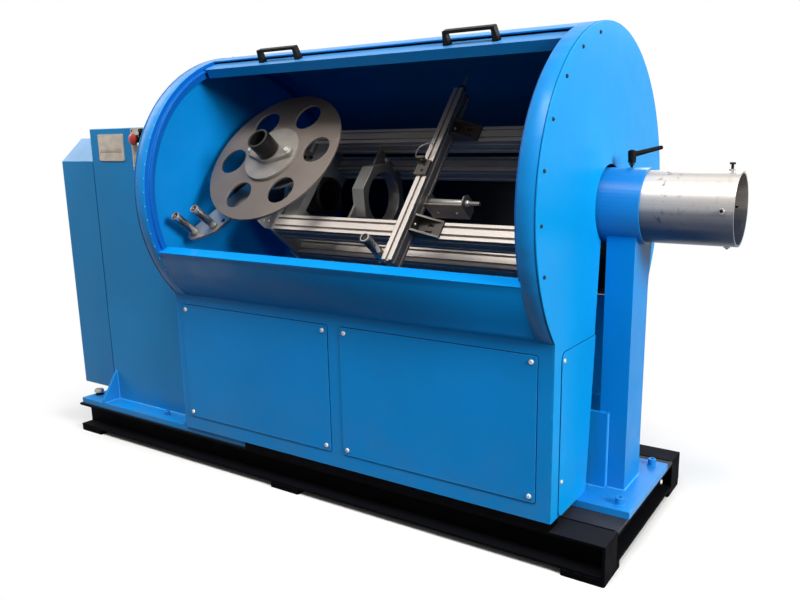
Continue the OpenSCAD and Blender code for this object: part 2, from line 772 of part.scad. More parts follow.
// A slotted section, w by d, with slots at the given offsets on its four sides
module slotted(w, d, wide_slots, deep_slots) difference() {
    translate([-w / 2, -d / 2]) square([w, d]);
    for (s = wide_slots, side = [0, 180]) rotate(side) translate([s, d / 2]) slot_cut();
    for (s = deep_slots, side = [90, 270]) rotate(side) translate([s, w / 2]) slot_cut();
}
rail_slots = [-rail_w / 4, rail_w / 4];
module cage_rails() color("gainsboro") in_cage() for (sy = [-1, 1], sz = [-1, 1])
    translate([0, sy * rail_y, sz * rail_z]) upright(rail_left)
        linear_extrude(-rail_right - rail_left) slotted(rail_w, rail_w, rail_slots, rail_slots);
plate_y = rail_y + rail_half + plate_rim;
plate_z = rail_z + rail_half + plate_rim;
module cage_plate(x, disc_r) {
    block(x, x + rotor_plate_t, -plate_y, plate_y, -plate_z, plate_z);
    along_x(x, x + rotor_plate_t, disc_r);
}
left_plate = rail_left - rotor_plate_t;
tip_shoulder = tip_len / 3;
module tip_bracket() linear_extrude(tip_t)
    polygon([[0, -rail_half], [0, rail_half], [-tip_shoulder, rail_half], [-tip_len, 0],
        [-tip_shoulder, -rail_half]]);
// The left plate carries a hub for the spindle and a pointed bracket at each rail end
module rotor_left_plate() color("silver") in_cage() difference() {
    union() {
        cage_plate(left_plate, spindle_r + hub_wall);
        along_x(left_plate - hub_len, left_plate, spindle_r + hub_wall);
        for (sy = [-1, 1], sz = [0, 1]) mirror([0, 0, sz])
            translate([left_plate, sy * rail_y, cage_face - tip_t]) tip_bracket();
    }
    along_x(left_plate - hub_len - past, rail_left + past, spindle_r + seat);
}
module rotor_right_plate() color("silver") in_cage() difference() {
    union() {
        cage_plate(-rail_right, bearing_r + hub_wall);
        along_x(-rail_right, -rail_right + rotor_plate_t + bearing_hub, bearing_r + hub_wall);
    }
    along_x(-rail_right - past, -sheet_t, bearing_r + fit);
}
// Cross plate between the rails with a thick octagonal ring through it
module ring_plate() color("silver") in_cage() difference() {
    union() {
        block(ring_x - ring_plate_t, ring_x, rail_half - rail_y, rail_y - rail_half, -rail_z, rail_z);
        translate([ring_x - ring_plate_t, 0, 0]) rotate([0, 90, 0]) rotate(22.5)
            cylinder(r = ring_r / cos(22.5), h = ring_plate_t + ring_t, $fn = 8);
    }
    along_x(ring_x - ring_plate_t - past, ring_x + ring_t + past, ring_hole);
}

// Cross arm over the front rails, with angle brackets, tape eye, end rod and roller block
module cross_arm() color("gainsboro") in_cage()
    translate([arm_x, arm_len / 2, cage_face + arm_d / 2]) rotate([90, 0, 0])
        linear_extrude(arm_len) slotted(arm_w, arm_d, [0], [-arm_d / 4, arm_d / 4]);
arm_left = arm_x - arm_w / 2;
arm_right = arm_x + arm_w / 2;
module slot_hole(len, r, h) {
    for (end = [-1, 1]) translate([end * len / 2, 0, -past]) cylinder(r = r, h = h + 2 * past);
    translate([-len / 2, -r, -past]) cube([len, 2 * r, h + 2 * past]);
}
module angle_bracket(len) difference() {
    union() {
        translate([0, -bracket_w / 2, 0]) cube([len, bracket_w, bracket_t]);
        translate([0, -bracket_w / 2, 0]) cube([bracket_t, bracket_w, bracket_h]);
        for (side = [0, 1]) mirror([0, side, 0]) translate([0, bracket_t - bracket_w / 2, 0])
            rotate([90, 0, 0]) linear_extrude(bracket_t)
                polygon([[0, 0], [len, 0], [len, bracket_t], [bracket_t, bracket_h]]);
    }
    for (side = [-1, 1]) translate([(len + bracket_t) / 2, side * bracket_w / 5, 0])
        slot_hole(bracket_slot, bracket_hole, bracket_t);
}
// A plate across the arm with an upright lug and a hole for the tape
module tape_eye() {
    translate([arm_left - eye_lap, -eye_l / 2, arm_face]) cube([arm_w + eye_lap, eye_l, eye_t]);
    translate([arm_left - eye_lap, eye_l / 2 - eye_t, arm_face]) difference() {
        cube([eye_h, eye_t, eye_h]);
        translate([eye_h / 2, -past, eye_h * 0.6]) rotate([-90, 0, 0])
            cylinder(r = eye_r, h = eye_t + 2 * past);
    }
}
end_rod_z = arm_face - arm_d / 3;
module end_rod() translate([arm_x, arm_len / 2, end_rod_z]) rotate([-90, 0, 0]) {
    cylinder(r = pin_r, h = end_rod_len);
    cylinder(r = 2 * pin_r, h = end_rod_collar);
}
arm_roller_at = [arm_left - roller_r - arm_roller_gap, arm_roller_end - arm_len / 2];
arm_roller_z = cage_face + arm_block_up + arm_block_t;
module roller_block() {
    block(arm_roller_at[0] - arm_block_w / 2, arm_left, arm_roller_at[1] - arm_block_w / 2,
        arm_roller_at[1] + arm_block_w / 2, cage_face + arm_block_up, arm_roller_z);
    translate([arm_roller_at[0], arm_roller_at[1], cage_face + arm_block_up])
        cylinder(r = pin_r, h = arm_block_t + arm_roller_len - pin_end);
}
module arm_fittings() color("dimgray") in_cage() {
    for (sy = [-1, 1]) translate([0, sy * rail_y, cage_face]) {
        translate([arm_right, 0, 0]) angle_bracket(bracket_l);
        translate([arm_left, 0, 0]) mirror([1, 0, 0]) angle_bracket(bracket_l / 2);
    }
    tape_eye();
    end_rod();
    roller_block();
}

// Channel bracket on the arm's right side, with a rod that carries the tape roller
tape_rod_at = [arm_right, tape_y + tape_rise / 2, cage_face + tape_over - tape_d / 3];
module tape_cheek() linear_extrude(tape_t)
    polygon([[0, 0], [tape_rise - tape_corner, 0], [tape_rise, tape_corner],
        [tape_rise, tape_d - tape_corner], [tape_rise - tape_corner, tape_d], [0, tape_d]]);
module tape_bracket() color("silver") in_cage() {
    translate([arm_right, tape_y, cage_face + tape_over - tape_d]) {
        cube([tape_l, tape_t, tape_d]);
        for (cx = [0, tape_l - tape_t]) upright(cx) tape_cheek();
    }
    translate(tape_rod_at) along_x(0, tape_l + tape_rod_past, pin_r);
}
module tape_roller() color("silver") in_cage() translate(tape_rod_at) difference() {
    along_x(tape_t + end_gap, tape_l - tape_t - end_gap, tape_roller_r);
    along_x(0, tape_l, pin_r + fit);
}

// Reel carrier: a bar over the rails, a plate with the reel shaft, and two roller pins
carrier_z = cage_face + pedestal_h;
outer_at = [reel_x - outer_back, -outer_side];
inner_at = [reel_x - inner_back, -inner_side];
roller_z = carrier_z + carrier_t + roller_collar;
module carrier_outline() difference() {
    union() {
        hull() {
            translate([bar_x, 0]) circle(carrier_bar_r, $fn = 32);
            translate([reel_x, 0]) circle(carrier_reel_r, $fn = 32);
        }
        hull() {
            translate([reel_x - carrier_reel_r / 2, -carrier_reel_r / 2])
                circle(carrier_reel_r / 2, $fn = 32);
            for (p = [outer_at, inner_at]) translate(p) circle(carrier_end_r, $fn = 32);
        }
    }
    for (side = [-1, 1]) translate([reel_x, side * carrier_hole_y]) circle(carrier_hole_r);
    translate(inner_at + carrier_slot_at) circle(carrier_slot_r);
}
module reel_carrier() color("silver") in_cage() {
    block(bar_x - bar_w / 2, bar_x + bar_w / 2, rail_half - rail_y, rail_y - rail_half,
        cage_face - bar_t, cage_face);
    block(bar_x - bar_w / 2, bar_x + bar_w / 2, -pedestal_d / 2, pedestal_d / 2, cage_face - past, carrier_z);
    translate([0, 0, carrier_z]) {
        linear_extrude(carrier_t) carrier_outline();
        translate([reel_x, 0, 0]) cylinder(r = shaft_r, h = reel_z + hub_top - carrier_z);
        for (p = [outer_at, inner_at]) translate(p) {
            cylinder(r = pin_r, h = carrier_t + roller_collar + roller_len - pin_end);
            cylinder(r = pin_r + roller_collar, h = carrier_t + roller_collar);
        }
    }
}
module roller(at, z, len) in_cage() translate([at[0], at[1], z + end_gap]) difference() {
    cylinder(r = roller_r, h = len);
    translate([0, 0, -past]) cylinder(r = pin_r + fit, h = len + 2 * past);
}
module outer_roller() color("silver") roller(outer_at, roller_z, roller_len);
module inner_roller() color("silver") roller(inner_at, roller_z, roller_len);
module arm_roller() color("silver") roller(arm_roller_at, arm_roller_z, arm_roller_len);

// Reel: disc with round holes, hub with a two-eared flange and a drum, and a hollow spindle
module on_reel(z) in_cage() translate([reel_x, 0, reel_z + z]) children();
module reel_disc() color("rosybrown") on_reel(0) difference() {
    cylinder(r = reel_r, h = reel_t, $fn = 180);
    translate([0, 0, -past]) cylinder(r = spigot_r, h = reel_t + 2 * past);
    for (k = [0 : reel_holes - 1]) rotate(k * 360 / reel_holes + reel_turn)
        translate([reel_hole_pitch, 0, -past]) cylinder(r = reel_hole_r, h = reel_t + 2 * past);
}
hub_top = reel_t + hub_t;
module ear_outline() hull() {
    circle(collar_r, $fn = 48);
    for (side = [-1, 1]) translate([side * ear_pitch, 0]) circle(ear_r, $fn = 48);
}
module reel_hub() color("silver") on_reel(0) difference() {
    union() {
        translate([0, 0, reel_t]) cylinder(r = hub_r, h = hub_t);
        cylinder(r = spigot_r - seat, h = reel_t + past);
        translate([0, 0, -drum_h]) cylinder(r = drum_r, h = drum_h);
        translate([0, 0, hub_top - past]) linear_extrude(ear_t + past) ear_outline();
    }
    translate([0, 0, -drum_h - past]) cylinder(r = shaft_r + fit, h = drum_h + hub_top + ear_t + 2 * past);
}
module reel_spindle() color("black") on_reel(hub_top + ear_t) difference() {
    cylinder(r = reel_spindle_r, h = reel_spindle_len);
    translate([0, 0, -past])
        cylinder(r = reel_spindle_r - reel_spindle_wall, h = reel_spindle_len + 2 * past);
}

base_long_beams();
base_cross_beams();
foot_pads();
deck_plate();
cabinet_spacers();
drive_base_plate();
drive_column();
belt_guard();
control_panel();
control_switches();
stop_button();
info_plate();
cabinet_walls();
front_panels();
cabinet_floor();
left_end_plate();
right_end_plate();
side_panels();
left_rim();
right_rim();
lower_shell();
rear_shell();
lid_sheet();
lid_handles();
support_base_plate();
support_column();
bearing_head();
clamp_lever();
guide_tube();
main_spindle();
rotor_left_plate();
rotor_right_plate();
cage_rails();
ring_plate();
cross_arm();
arm_fittings();
tape_bracket();
tape_roller();
reel_carrier();
outer_roller();
inner_roller();
arm_roller();
reel_disc();
reel_hub();
reel_spindle();
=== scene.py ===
import json
import math
import random

import bmesh
import bpy
from mathutils import Matrix, Vector

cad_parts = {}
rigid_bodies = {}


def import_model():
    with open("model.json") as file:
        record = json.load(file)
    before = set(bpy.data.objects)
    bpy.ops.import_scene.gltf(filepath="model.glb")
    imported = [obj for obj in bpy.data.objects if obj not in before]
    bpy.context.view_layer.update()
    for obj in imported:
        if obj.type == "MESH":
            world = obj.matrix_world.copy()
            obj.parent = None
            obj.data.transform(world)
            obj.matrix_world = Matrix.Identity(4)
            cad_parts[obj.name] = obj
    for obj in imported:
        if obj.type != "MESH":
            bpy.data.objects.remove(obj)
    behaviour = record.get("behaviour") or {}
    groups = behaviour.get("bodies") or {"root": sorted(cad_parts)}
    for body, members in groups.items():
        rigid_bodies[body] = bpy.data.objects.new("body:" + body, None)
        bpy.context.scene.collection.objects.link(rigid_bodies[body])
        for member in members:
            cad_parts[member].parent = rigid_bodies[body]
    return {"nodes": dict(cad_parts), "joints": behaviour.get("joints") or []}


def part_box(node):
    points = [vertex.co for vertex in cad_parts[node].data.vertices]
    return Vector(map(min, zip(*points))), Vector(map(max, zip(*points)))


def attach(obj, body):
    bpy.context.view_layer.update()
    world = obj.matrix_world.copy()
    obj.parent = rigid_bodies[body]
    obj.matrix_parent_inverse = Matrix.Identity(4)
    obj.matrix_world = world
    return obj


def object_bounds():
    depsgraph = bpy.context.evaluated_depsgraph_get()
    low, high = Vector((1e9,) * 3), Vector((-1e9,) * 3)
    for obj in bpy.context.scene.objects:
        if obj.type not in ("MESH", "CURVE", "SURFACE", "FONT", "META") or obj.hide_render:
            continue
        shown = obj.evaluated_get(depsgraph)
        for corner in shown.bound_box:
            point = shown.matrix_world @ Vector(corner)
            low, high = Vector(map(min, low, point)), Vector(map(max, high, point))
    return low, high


for leftover in list(bpy.data.objects):  # the start-up cube, lamp and camera
    bpy.data.objects.remove(leftover)

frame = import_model()
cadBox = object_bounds()
cad = frame["nodes"]
joints = {joint["name"]: joint for joint in frame["joints"]}
print("frame loaded:", len(cad), "nodes")

toRight, toFront, upward = (1, 0, 0), (0, -1, 0), (0, 0, 1)
toLeft, toRear, downward = (-1, 0, 0), (0, 1, 0), (0, 0, -1)

# places that the details are measured from, all read from the solids
tubeLow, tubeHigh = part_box("guide_tube")
axisHeight = (tubeLow.z + tubeHigh.z) / 2
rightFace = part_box("right_end_plate")[1].x
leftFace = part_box("left_end_plate")[0].x
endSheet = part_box("left_end_plate")[1].x - leftFace
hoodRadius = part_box("right_end_plate")[1].y
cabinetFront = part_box("cabinet_walls")[0].y
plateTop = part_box("support_base_plate")[1].z
driveLow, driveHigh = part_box("drive_column")
reelAxis = Vector(joints["reel_spin"]["axis"])
cageTurn = math.atan2(-reelAxis.y, reelAxis.z)
cage = Matrix.Translation((0, 0, axisHeight)) @ Matrix.Rotation(cageTurn, 4, "X")


def cageBox(name):  # a node's box in the turned frame of the rotor cage
    spots = [cage.inverted() @ v.co for v in cad[name].data.vertices]
    low = Vector([min(s[k] for s in spots) for k in range(3)])
    high = Vector([max(s[k] for s in spots) for k in range(3)])
    return low, high


def pinSpot(name):  # where a joint's axis stands in the cage frame
    return cage.inverted() @ Vector(joints[name]["pos_m"])


def standAt(point, normal, spin=0.0):  # Z along the normal; spin gives each screw head its own turn
    turn = Vector(normal).normalized().to_track_quat("Z", "Y").to_matrix().to_4x4()
    return Matrix.Translation(point) @ turn @ Matrix.Rotation(spin, 4, "Z")


def raised(place, height):
    return place @ Matrix.Translation((0, 0, height))


def facePlace(point, across=toRight):  # X across an upright face, Y up it, Z out of it
    across, up = Vector(across), Vector(upward)
    turn = Matrix((across, up, across.cross(up))).transposed().to_4x4()
    return Matrix.Translation(point) @ turn


def inCage(point, normal, spin=0.0):
    return cage @ standAt(point, normal, spin)


def hoodSpot(x, radius, degrees):  # angle measured up from the front
    turn = math.radians(degrees)
    return Vector((x, -radius * math.cos(turn), axisHeight + radius * math.sin(turn)))


def fromAxis(spot):  # the way out from the machine's axis
    return Vector((0, spot.y, spot.z - axisHeight))


def cornerSpots(low, high, inset):  # four places inside an upright rectangle
    return [(x, z) for x in (low.x + inset, high.x - inset) for z in (low.z + inset, high.z - inset)]


# materials
def newFinish(name):
    finish = bpy.data.materials.new(name)
    finish.use_nodes = True
    tree = finish.node_tree
    return finish, tree, tree.nodes["Principled BSDF"]


def addNode(tree, kind, **values):
    made = tree.nodes.new("ShaderNode" + kind)
    for name, value in values.items():
        if name in made.inputs:
            made.inputs[name].default_value = value
        else:
            setattr(made, name, value)
    return made


def feed(tree, sockets, sources):  # link what comes from a node, set what is a plain value
    for socket, source in zip(sockets, sources):
        if isinstance(source, bpy.types.NodeSocket):
            tree.links.new(source, socket)
        else:
            socket.default_value = source


def mathOf(tree, operation, *sources):
    made = addNode(tree, "Math", operation=operation)
    feed(tree, made.inputs, sources)
    return made.outputs["Value"]


def vectorOf(tree, operation, *sources):
    made = addNode(tree, "VectorMath", operation=operation)
    feed(tree, made.inputs, sources)
    return made.outputs["Value" if operation in ("DOT_PRODUCT", "LENGTH") else "Vector"]


def spotOf(tree, kind="Object"):
    return addNode(tree, "TexCoord").outputs[kind]


def axisOf(tree, vector, axis):
    split = addNode(tree, "SeparateXYZ")
    tree.links.new(vector, split.inputs["Vector"])
    return split.outputs[axis]


def spanOf(tree, source, start, end):  # 0 at the start, 1 at the end
    span = addNode(tree, "MapRange", **{"From Min": start, "From Max": end})
    tree.links.new(source, span.inputs["Value"])
    return span.outputs["Result"]


def noiseOf(tree, scale, detail=2.0, stretch=(1, 1, 1), turn=0.0):  # turned about X, then stretched
    fit = addNode(tree, "Mapping", vector_type="TEXTURE", Scale=[1 / s for s in stretch], Rotation=(turn, 0, 0))
    noise = addNode(tree, "TexNoise", Scale=scale, Detail=detail)
    tree.links.new(spotOf(tree), fit.inputs["Vector"])
    tree.links.new(fit.outputs["Vector"], noise.inputs["Vector"])
    return noise.outputs["Fac"]


def rampOf(tree, source, stops):
    ramp = addNode(tree, "ValToRGB")
    while len(ramp.color_ramp.elements) < len(stops):
        ramp.color_ramp.elements.new(0.5)
    for element, (place, tone) in zip(ramp.color_ramp.elements, stops):
        element.position = place
        element.color = (tone,) * 3 + (1,) if isinstance(tone, (int, float)) else tuple(tone) + (1,)
    tree.links.new(source, ramp.inputs["Fac"])
    return ramp.outputs["Color"]


def cloudOf(tree, scale, detail, low, high, start=0.3, end=0.75):
    return rampOf(tree, noiseOf(tree, scale, detail), [(start, low), (end, high)])


def mixOf(tree, amount, first, second, blend="MIX"):
    mix = addNode(tree, "Mix", data_type="RGBA", blend_type=blend)
    first, second = [tuple(tone) + (1,) if isinstance(tone, tuple) else tone for tone in (first, second)]
    feed(tree, (mix.inputs[0], mix.inputs[6], mix.inputs[7]), (amount, first, second))  # the colour sockets
    return mix.outputs[2]


def bothOf(tree, first, second):
    return mixOf(tree, 1.0, first, second, "MULTIPLY")


def edgeMask(tree, radius, flat=0.985, worn=0.80):  # bright where a rounded edge leaves the flat face
    soft = addNode(tree, "Bevel", Radius=radius, samples=4).outputs["Normal"]
    even = vectorOf(tree, "DOT_PRODUCT", soft, addNode(tree, "NewGeometry").outputs["Normal"])
    return rampOf(tree, even, [(worn, 1.0), (flat, 0.0)])


def grainOf(tree, scale, detail, strength, depth):
    return noiseOf(tree, scale, detail), strength, depth


def dress(tree, shader, colour, rough, grain, metallic=0.0, specular=0.5):  # grain: source, strength, depth
    bump = addNode(tree, "Bump", Strength=grain[1], Distance=grain[2])
    tree.links.new(grain[0], bump.inputs["Height"])
    for name, source in (("Base Color", colour), ("Roughness", rough), ("Normal", bump.outputs["Normal"])):
        tree.links.new(source, shader.inputs[name])
    shader.inputs["Metallic"].default_value = metallic
    shader.inputs["Specular IOR Level"].default_value = specular


def shade(colour, factor):
    return tuple(min(1, c * factor) for c in colour)


enamel = {"blue": (0.002, 0.245, 0.68), "drive": (0.008, 0.25, 0.60), "end": (0.002, 0.30, 0.74),
          "head": (0.002, 0.17, 0.50), "highlightBlue": (0.03, 0.36, 0.85), "inner": (0.001, 0.009, 0.021),
          "flange": (0.002, 0.115, 0.47), "edge": (0.10, 0.47, 0.92), "dust": (0.08, 0.17, 0.28),
          "paleDustAndSheen": (0.30, 0.38, 0.44), "rough": (0.28, 0.40), "specular": 0.13, "edgeRadius": 0.004,
          "floorDust": ((0.12, 0.34), (0.42, 0.0)), "trackFrom": 0.013, "trackTo": 0.010,
          "cloud": (2.4, 4), "edgeHighlightPatches": (38, 3), "dustCloud": (9, 5), "innerShadeCloud": (3.1, 4), "roughCloud": (14, 5),
          "grain": (260, 2, 0.05, 0.0008)}  # clouds: scale and detail of the noise


def blueEnamel(name, tone, specular=enamel["specular"], topDustAndSheen=0, innerPaintedShade=False, paintedFlangeShade=False):
    finish, tree, shader = newFinish(name)
    spot, normal = spotOf(tree), spotOf(tree, "Normal")
    colour = cloudOf(tree, *enamel["cloud"], shade(tone, 0.92), shade(tone, 1.06), end=0.72)
    # painted highlight: the rounded edges are lightened in patches towards a paler blue
    edgeHighlightPatches = cloudOf(tree, *enamel["edgeHighlightPatches"], 0.05, 0.5, start=0.4)
    colour = mixOf(tree, bothOf(tree, edgeMask(tree, enamel["edgeRadius"]), edgeHighlightPatches), colour, enamel["edge"])
    low = rampOf(tree, axisOf(tree, spot, "Z"), enamel["floorDust"])  # dust settles near the floor
    dust = bothOf(tree, low, cloudOf(tree, *enamel["dustCloud"], 0.0, 1.0, start=0.35, end=0.8))
    colour = mixOf(tree, dust, colour, enamel["dust"])
    # faces that look up turn paler: dust together with a painted sheen of the bright sky
    upwardDustAndSheen = rampOf(tree, axisOf(tree, normal, "Z"), [(0.45, 0.0), (0.9, topDustAndSheen)])
    colour = mixOf(tree, upwardDustAndSheen, colour, enamel["paleDustAndSheen"])
    toAxis = vectorOf(tree, "MULTIPLY_ADD", spot, (0, -1, -1), (0, 0, axisHeight))  # square to the rotor axis
    if innerPaintedShade:  # painted shade: the side that faces the rotor axis is darkened to near black for the hood's shaded inside
        axisFacingShade = rampOf(tree, vectorOf(tree, "DOT_PRODUCT", toAxis, normal), [(0.16, 0.0), (0.3, 1.0)])
        inner = cloudOf(tree, *enamel["innerShadeCloud"], shade(enamel["inner"], 0.75), enamel["inner"])
        colour = mixOf(tree, axisFacingShade, colour, inner)
    if paintedFlangeShade:  # painted shade: the rims' folded flanges and tracks are darkened
        flat = rampOf(tree, mathOf(tree, "ABSOLUTE", axisOf(tree, normal, "X")), [(0.7, 0.0), (0.95, 1.0)])
        inside = rampOf(tree, vectorOf(tree, "LENGTH", toAxis),
                        [(hoodRadius - enamel["trackFrom"], 1.0), (hoodRadius - enamel["trackTo"], 0.0)])
        colour = mixOf(tree, mixOf(tree, 1.0, flat, inside, "LIGHTEN"), colour, enamel["flange"])
    dress(tree, shader, colour, cloudOf(tree, *enamel["roughCloud"], *enamel["rough"]),
          grainOf(tree, *enamel["grain"]), specular=specular)
    return finish


blackCoat = {"bare": (0.16, 0.15, 0.14), "edgeRadius": 0.003, "flat": ((0.8, 0.0), (0.97, 1.0)),
             "high": ((0.05, 0.25), (0.10, 1.0)), "cloud": (6, 5), "rubCloud": (55, 4), "roughCloud": (22, 4),
             "grain": (320, 3, 0.10, 0.0008)}


def coatedBlack(name, tone, rough, wear, specular, upwardTone=None):  # the last argument is the lighter colour given to the upward faces
    finish, tree, shader = newFinish(name)
    colour = cloudOf(tree, *blackCoat["cloud"], tone, shade(tone, 2.2), end=0.8)
    if upwardTone:
        flat = rampOf(tree, axisOf(tree, spotOf(tree, "Normal"), "Z"), blackCoat["flat"])
        high = rampOf(tree, axisOf(tree, spotOf(tree), "Z"), blackCoat["high"])  # less on the low flange
        colour = mixOf(tree, bothOf(tree, flat, high), colour, upwardTone)
    worn = cloudOf(tree, *blackCoat["rubCloud"], 0.0, wear, start=0.4, end=0.7)
    rub = bothOf(tree, edgeMask(tree, blackCoat["edgeRadius"]), worn)
    dress(tree, shader, mixOf(tree, rub, colour, blackCoat["bare"]),
          cloudOf(tree, *blackCoat["roughCloud"], rough - 0.08, rough + 0.1), grainOf(tree, *blackCoat["grain"]),
          specular=specular)
    return finish


plastic = {"cloud": (30, 3), "roughCloud": (60, 2), "grain": (900, 2), "depth": 0.0004}


def mouldedPlastic(name, tone, rough, grain, specular=0.4):
    finish, tree, shader = newFinish(name)
    dress(tree, shader, cloudOf(tree, *plastic["cloud"], shade(tone, 0.85), shade(tone, 1.15)),
          cloudOf(tree, *plastic["roughCloud"], rough - 0.05, rough + 0.06, end=0.7),
          grainOf(tree, *plastic["grain"], grain, plastic["depth"]), specular=specular)
    return finish


drawnCoat = {"undersideShade": (0.03, 0.03, 0.033), "undersideShadeStops": ((0.1, 0.0), (0.45, 0.7)), "smear": (6, 5), "depth": 0.0002}


def drawnMetal(name, tone, rough, stretch, turn, metallic, lines, patch, shadedSide=downward):
    finish, tree, shader = newFinish(name)
    drawn = noiseOf(tree, 1.0, 2, stretch, turn)
    smear = noiseOf(tree, *drawnCoat["smear"])
    colour = mixOf(tree, patch, rampOf(tree, drawn, [(0.3, shade(tone, 0.98)), (0.7, shade(tone, 1.02))]),
                   rampOf(tree, smear, [(0.3, shade(tone, 0.45)), (0.7, tone)]))
    paintedShade = vectorOf(tree, "DOT_PRODUCT", spotOf(tree, "Normal"), shadedSide)  # painted shade: the faces that look this way are darkened
    colour = mixOf(tree, rampOf(tree, paintedShade, drawnCoat["undersideShadeStops"]), colour, drawnCoat["undersideShade"])
    dress(tree, shader, colour, rampOf(tree, smear, [(0.3, rough - 0.06), (0.75, rough + 0.08)]),
          (drawn, lines, drawnCoat["depth"]), metallic)
    return finish


plating = {"wear": (0.6, 0.6, 0.6), "edgeRadius": 0.0015, "cloud": (12, 4), "roughCloud": (30, 3),
           "grain": (500, 2, 0.03, 0.0002)}


def platedSteel(name, tone, rough, metallic=0.55, specular=0.5):
    finish, tree, shader = newFinish(name)
    cloud = cloudOf(tree, *plating["cloud"], shade(tone, 0.86), shade(tone, 1.06))
    edge = bothOf(tree, edgeMask(tree, plating["edgeRadius"]), plating["wear"])
    dress(tree, shader, mixOf(tree, edge, cloud, shade(tone, 1.5)),
          cloudOf(tree, *plating["roughCloud"], rough - 0.06, rough + 0.08, end=0.7), grainOf(tree, *plating["grain"]),
          metallic, specular)
    return finish


# paints: tone, then specular level where it isn't the usual one
bodyBlue = blueEnamel("bodyBlue", enamel["blue"])
shellBlue = blueEnamel("shellBlue", enamel["blue"], topDustAndSheen=0.22, innerPaintedShade=True)
rimBlue = blueEnamel("rimBlue", enamel["blue"], 0.2, paintedFlangeShade=True)
leftRimBlue = blueEnamel("leftRimBlue", enamel["blue"], 0.15, topDustAndSheen=0.30, paintedFlangeShade=True)
# painted light: the lower shell and its lip use a lighter copy of the body blue
litLowerBlue = blueEnamel("litLowerBlue", shade(enamel["blue"], 1.2), 0.05, innerPaintedShade=True)
columnBlue = blueEnamel("columnBlue", enamel["blue"], 0.06)
# painted highlight: weld beads and rim rivets use a lighter copy of the body blue
weldHighlightBlue = blueEnamel("weldHighlightBlue", enamel["highlightBlue"], 0.3)
driveBlue = blueEnamel("driveBlue", enamel["drive"], topDustAndSheen=0.45)
rivetHighlightBlue = blueEnamel("rivetHighlightBlue", enamel["highlightBlue"], 0.4)
# painted light: the right end plate and side panels use a lighter copy of the body blue
litEndBlue = blueEnamel("litEndBlue", enamel["end"], 0.06)
# painted shade: the bearing head uses a darker copy of the body blue
shadedHeadBlue = blueEnamel("shadedHeadBlue", enamel["head"], 0.2)
baseBlack = coatedBlack("baseBlack", (0.0008, 0.0009, 0.0014), rough=0.7, wear=0.14, specular=0.02,
                        upwardTone=(0.014, 0.015, 0.019))
deckGrey = coatedBlack("deckGrey", (0.018, 0.019, 0.024), rough=0.5, wear=0.4, specular=0.07)

# plastics and plates: tone, roughness, grain, specular level
beigePlate = mouldedPlastic("beigePlate", (0.70, 0.62, 0.53), 0.42, 0.05, 0.2)
bandBeige = mouldedPlastic("bandBeige", (0.50, 0.44, 0.37), 0.45, 0.05, 0.2)
blackPlastic = mouldedPlastic("blackPlastic", (0.0024, 0.0026, 0.0036), 0.42, 0.08, 0.12)
redPlastic = mouldedPlastic("redPlastic", (0.50, 0.030, 0.025), 0.35, 0.03)
whitePlastic = mouldedPlastic("whitePlastic", (0.75, 0.74, 0.70), 0.35, 0.03)
yellowPlate = mouldedPlastic("yellowPlate", (0.55, 0.34, 0.09), 0.4, 0.04)
jointDark = mouldedPlastic("jointDark", (0.002, 0.012, 0.045), 0.7, 0.10, 0.1)
jointBlue = mouldedPlastic("jointBlue", (0.002, 0.07, 0.24), 0.6, 0.10, 0.1)

# tube: drawn stainless with a scuffed band near the head, and dark bands by height, painted reflection and shade, over
# the underside and a thin strip at the top
tubeCoat = {"tone": (0.70, 0.64, 0.58), "scuff": (0.14, 0.12, 0.11), "paintedShade": (0.03, 0.045, 0.085), "bandSpan": 0.4,
            "band": ((0.38, 0.0), (0.44, 1.0), (0.48, 0.5), (0.62, 0.12)), "shadeSpan": 0.1, "lines": (2, 300, 300),
            "cloud": (5, 5), "specks": (60, 5), "roughCloud": (9, 4), "rough": (0.27, 0.38), "grain": (0.03, 0.0002),
            "shadeBands": ((0.0, 0.97), (0.30, 0.92), (0.45, 0.76), (0.51, 0.45), (0.66, 0.28), (0.72, 0.0),
                          (0.92, 0.0), (0.96, 0.30))}


def tubeSteel(name):
    finish, tree, shader = newFinish(name)
    tone, span = tubeCoat["tone"], tubeCoat["shadeSpan"]
    drawn = noiseOf(tree, 1.0, 2, tubeCoat["lines"])
    colour = rampOf(tree, drawn, [(0.3, shade(tone, 0.92)), (0.7, shade(tone, 1.05))])
    colour = mixOf(tree, 0.25, colour, cloudOf(tree, *tubeCoat["cloud"], shade(tone, 0.6), tone, end=0.7))
    along = spanOf(tree, axisOf(tree, spotOf(tree), "X"), rightFace, rightFace + tubeCoat["bandSpan"])
    specks = cloudOf(tree, *tubeCoat["specks"], 0.0, 0.9, start=0.55, end=0.62)
    colour = mixOf(tree, bothOf(tree, rampOf(tree, along, tubeCoat["band"]), specks), colour, tubeCoat["scuff"])
    # painted reflection and shade: dark bands by height round the tube
    height = spanOf(tree, axisOf(tree, spotOf(tree), "Z"), axisHeight - span, axisHeight + span)
    colour = mixOf(tree, rampOf(tree, height, tubeCoat["shadeBands"]), colour, tubeCoat["paintedShade"])
    dress(tree, shader, colour, cloudOf(tree, *tubeCoat["roughCloud"], *tubeCoat["rough"]),
          (drawn, *tubeCoat["grain"]), metallic=0.35, specular=0.25)
    return finish


stainless = tubeSteel("stainless")
aluminium = {"tone": (0.74, 0.67, 0.61), "rough": 0.42, "turn": cageTurn, "metallic": 0.2, "lines": 0.02, "patch": 0.05}
railAluminium = drawnMetal("railAluminium", stretch=(0.5, 420, 420), **aluminium)
armAluminium = drawnMetal("armAluminium", stretch=(420, 0.5, 420), shadedSide=(0.45, 0, -0.3), **aluminium)

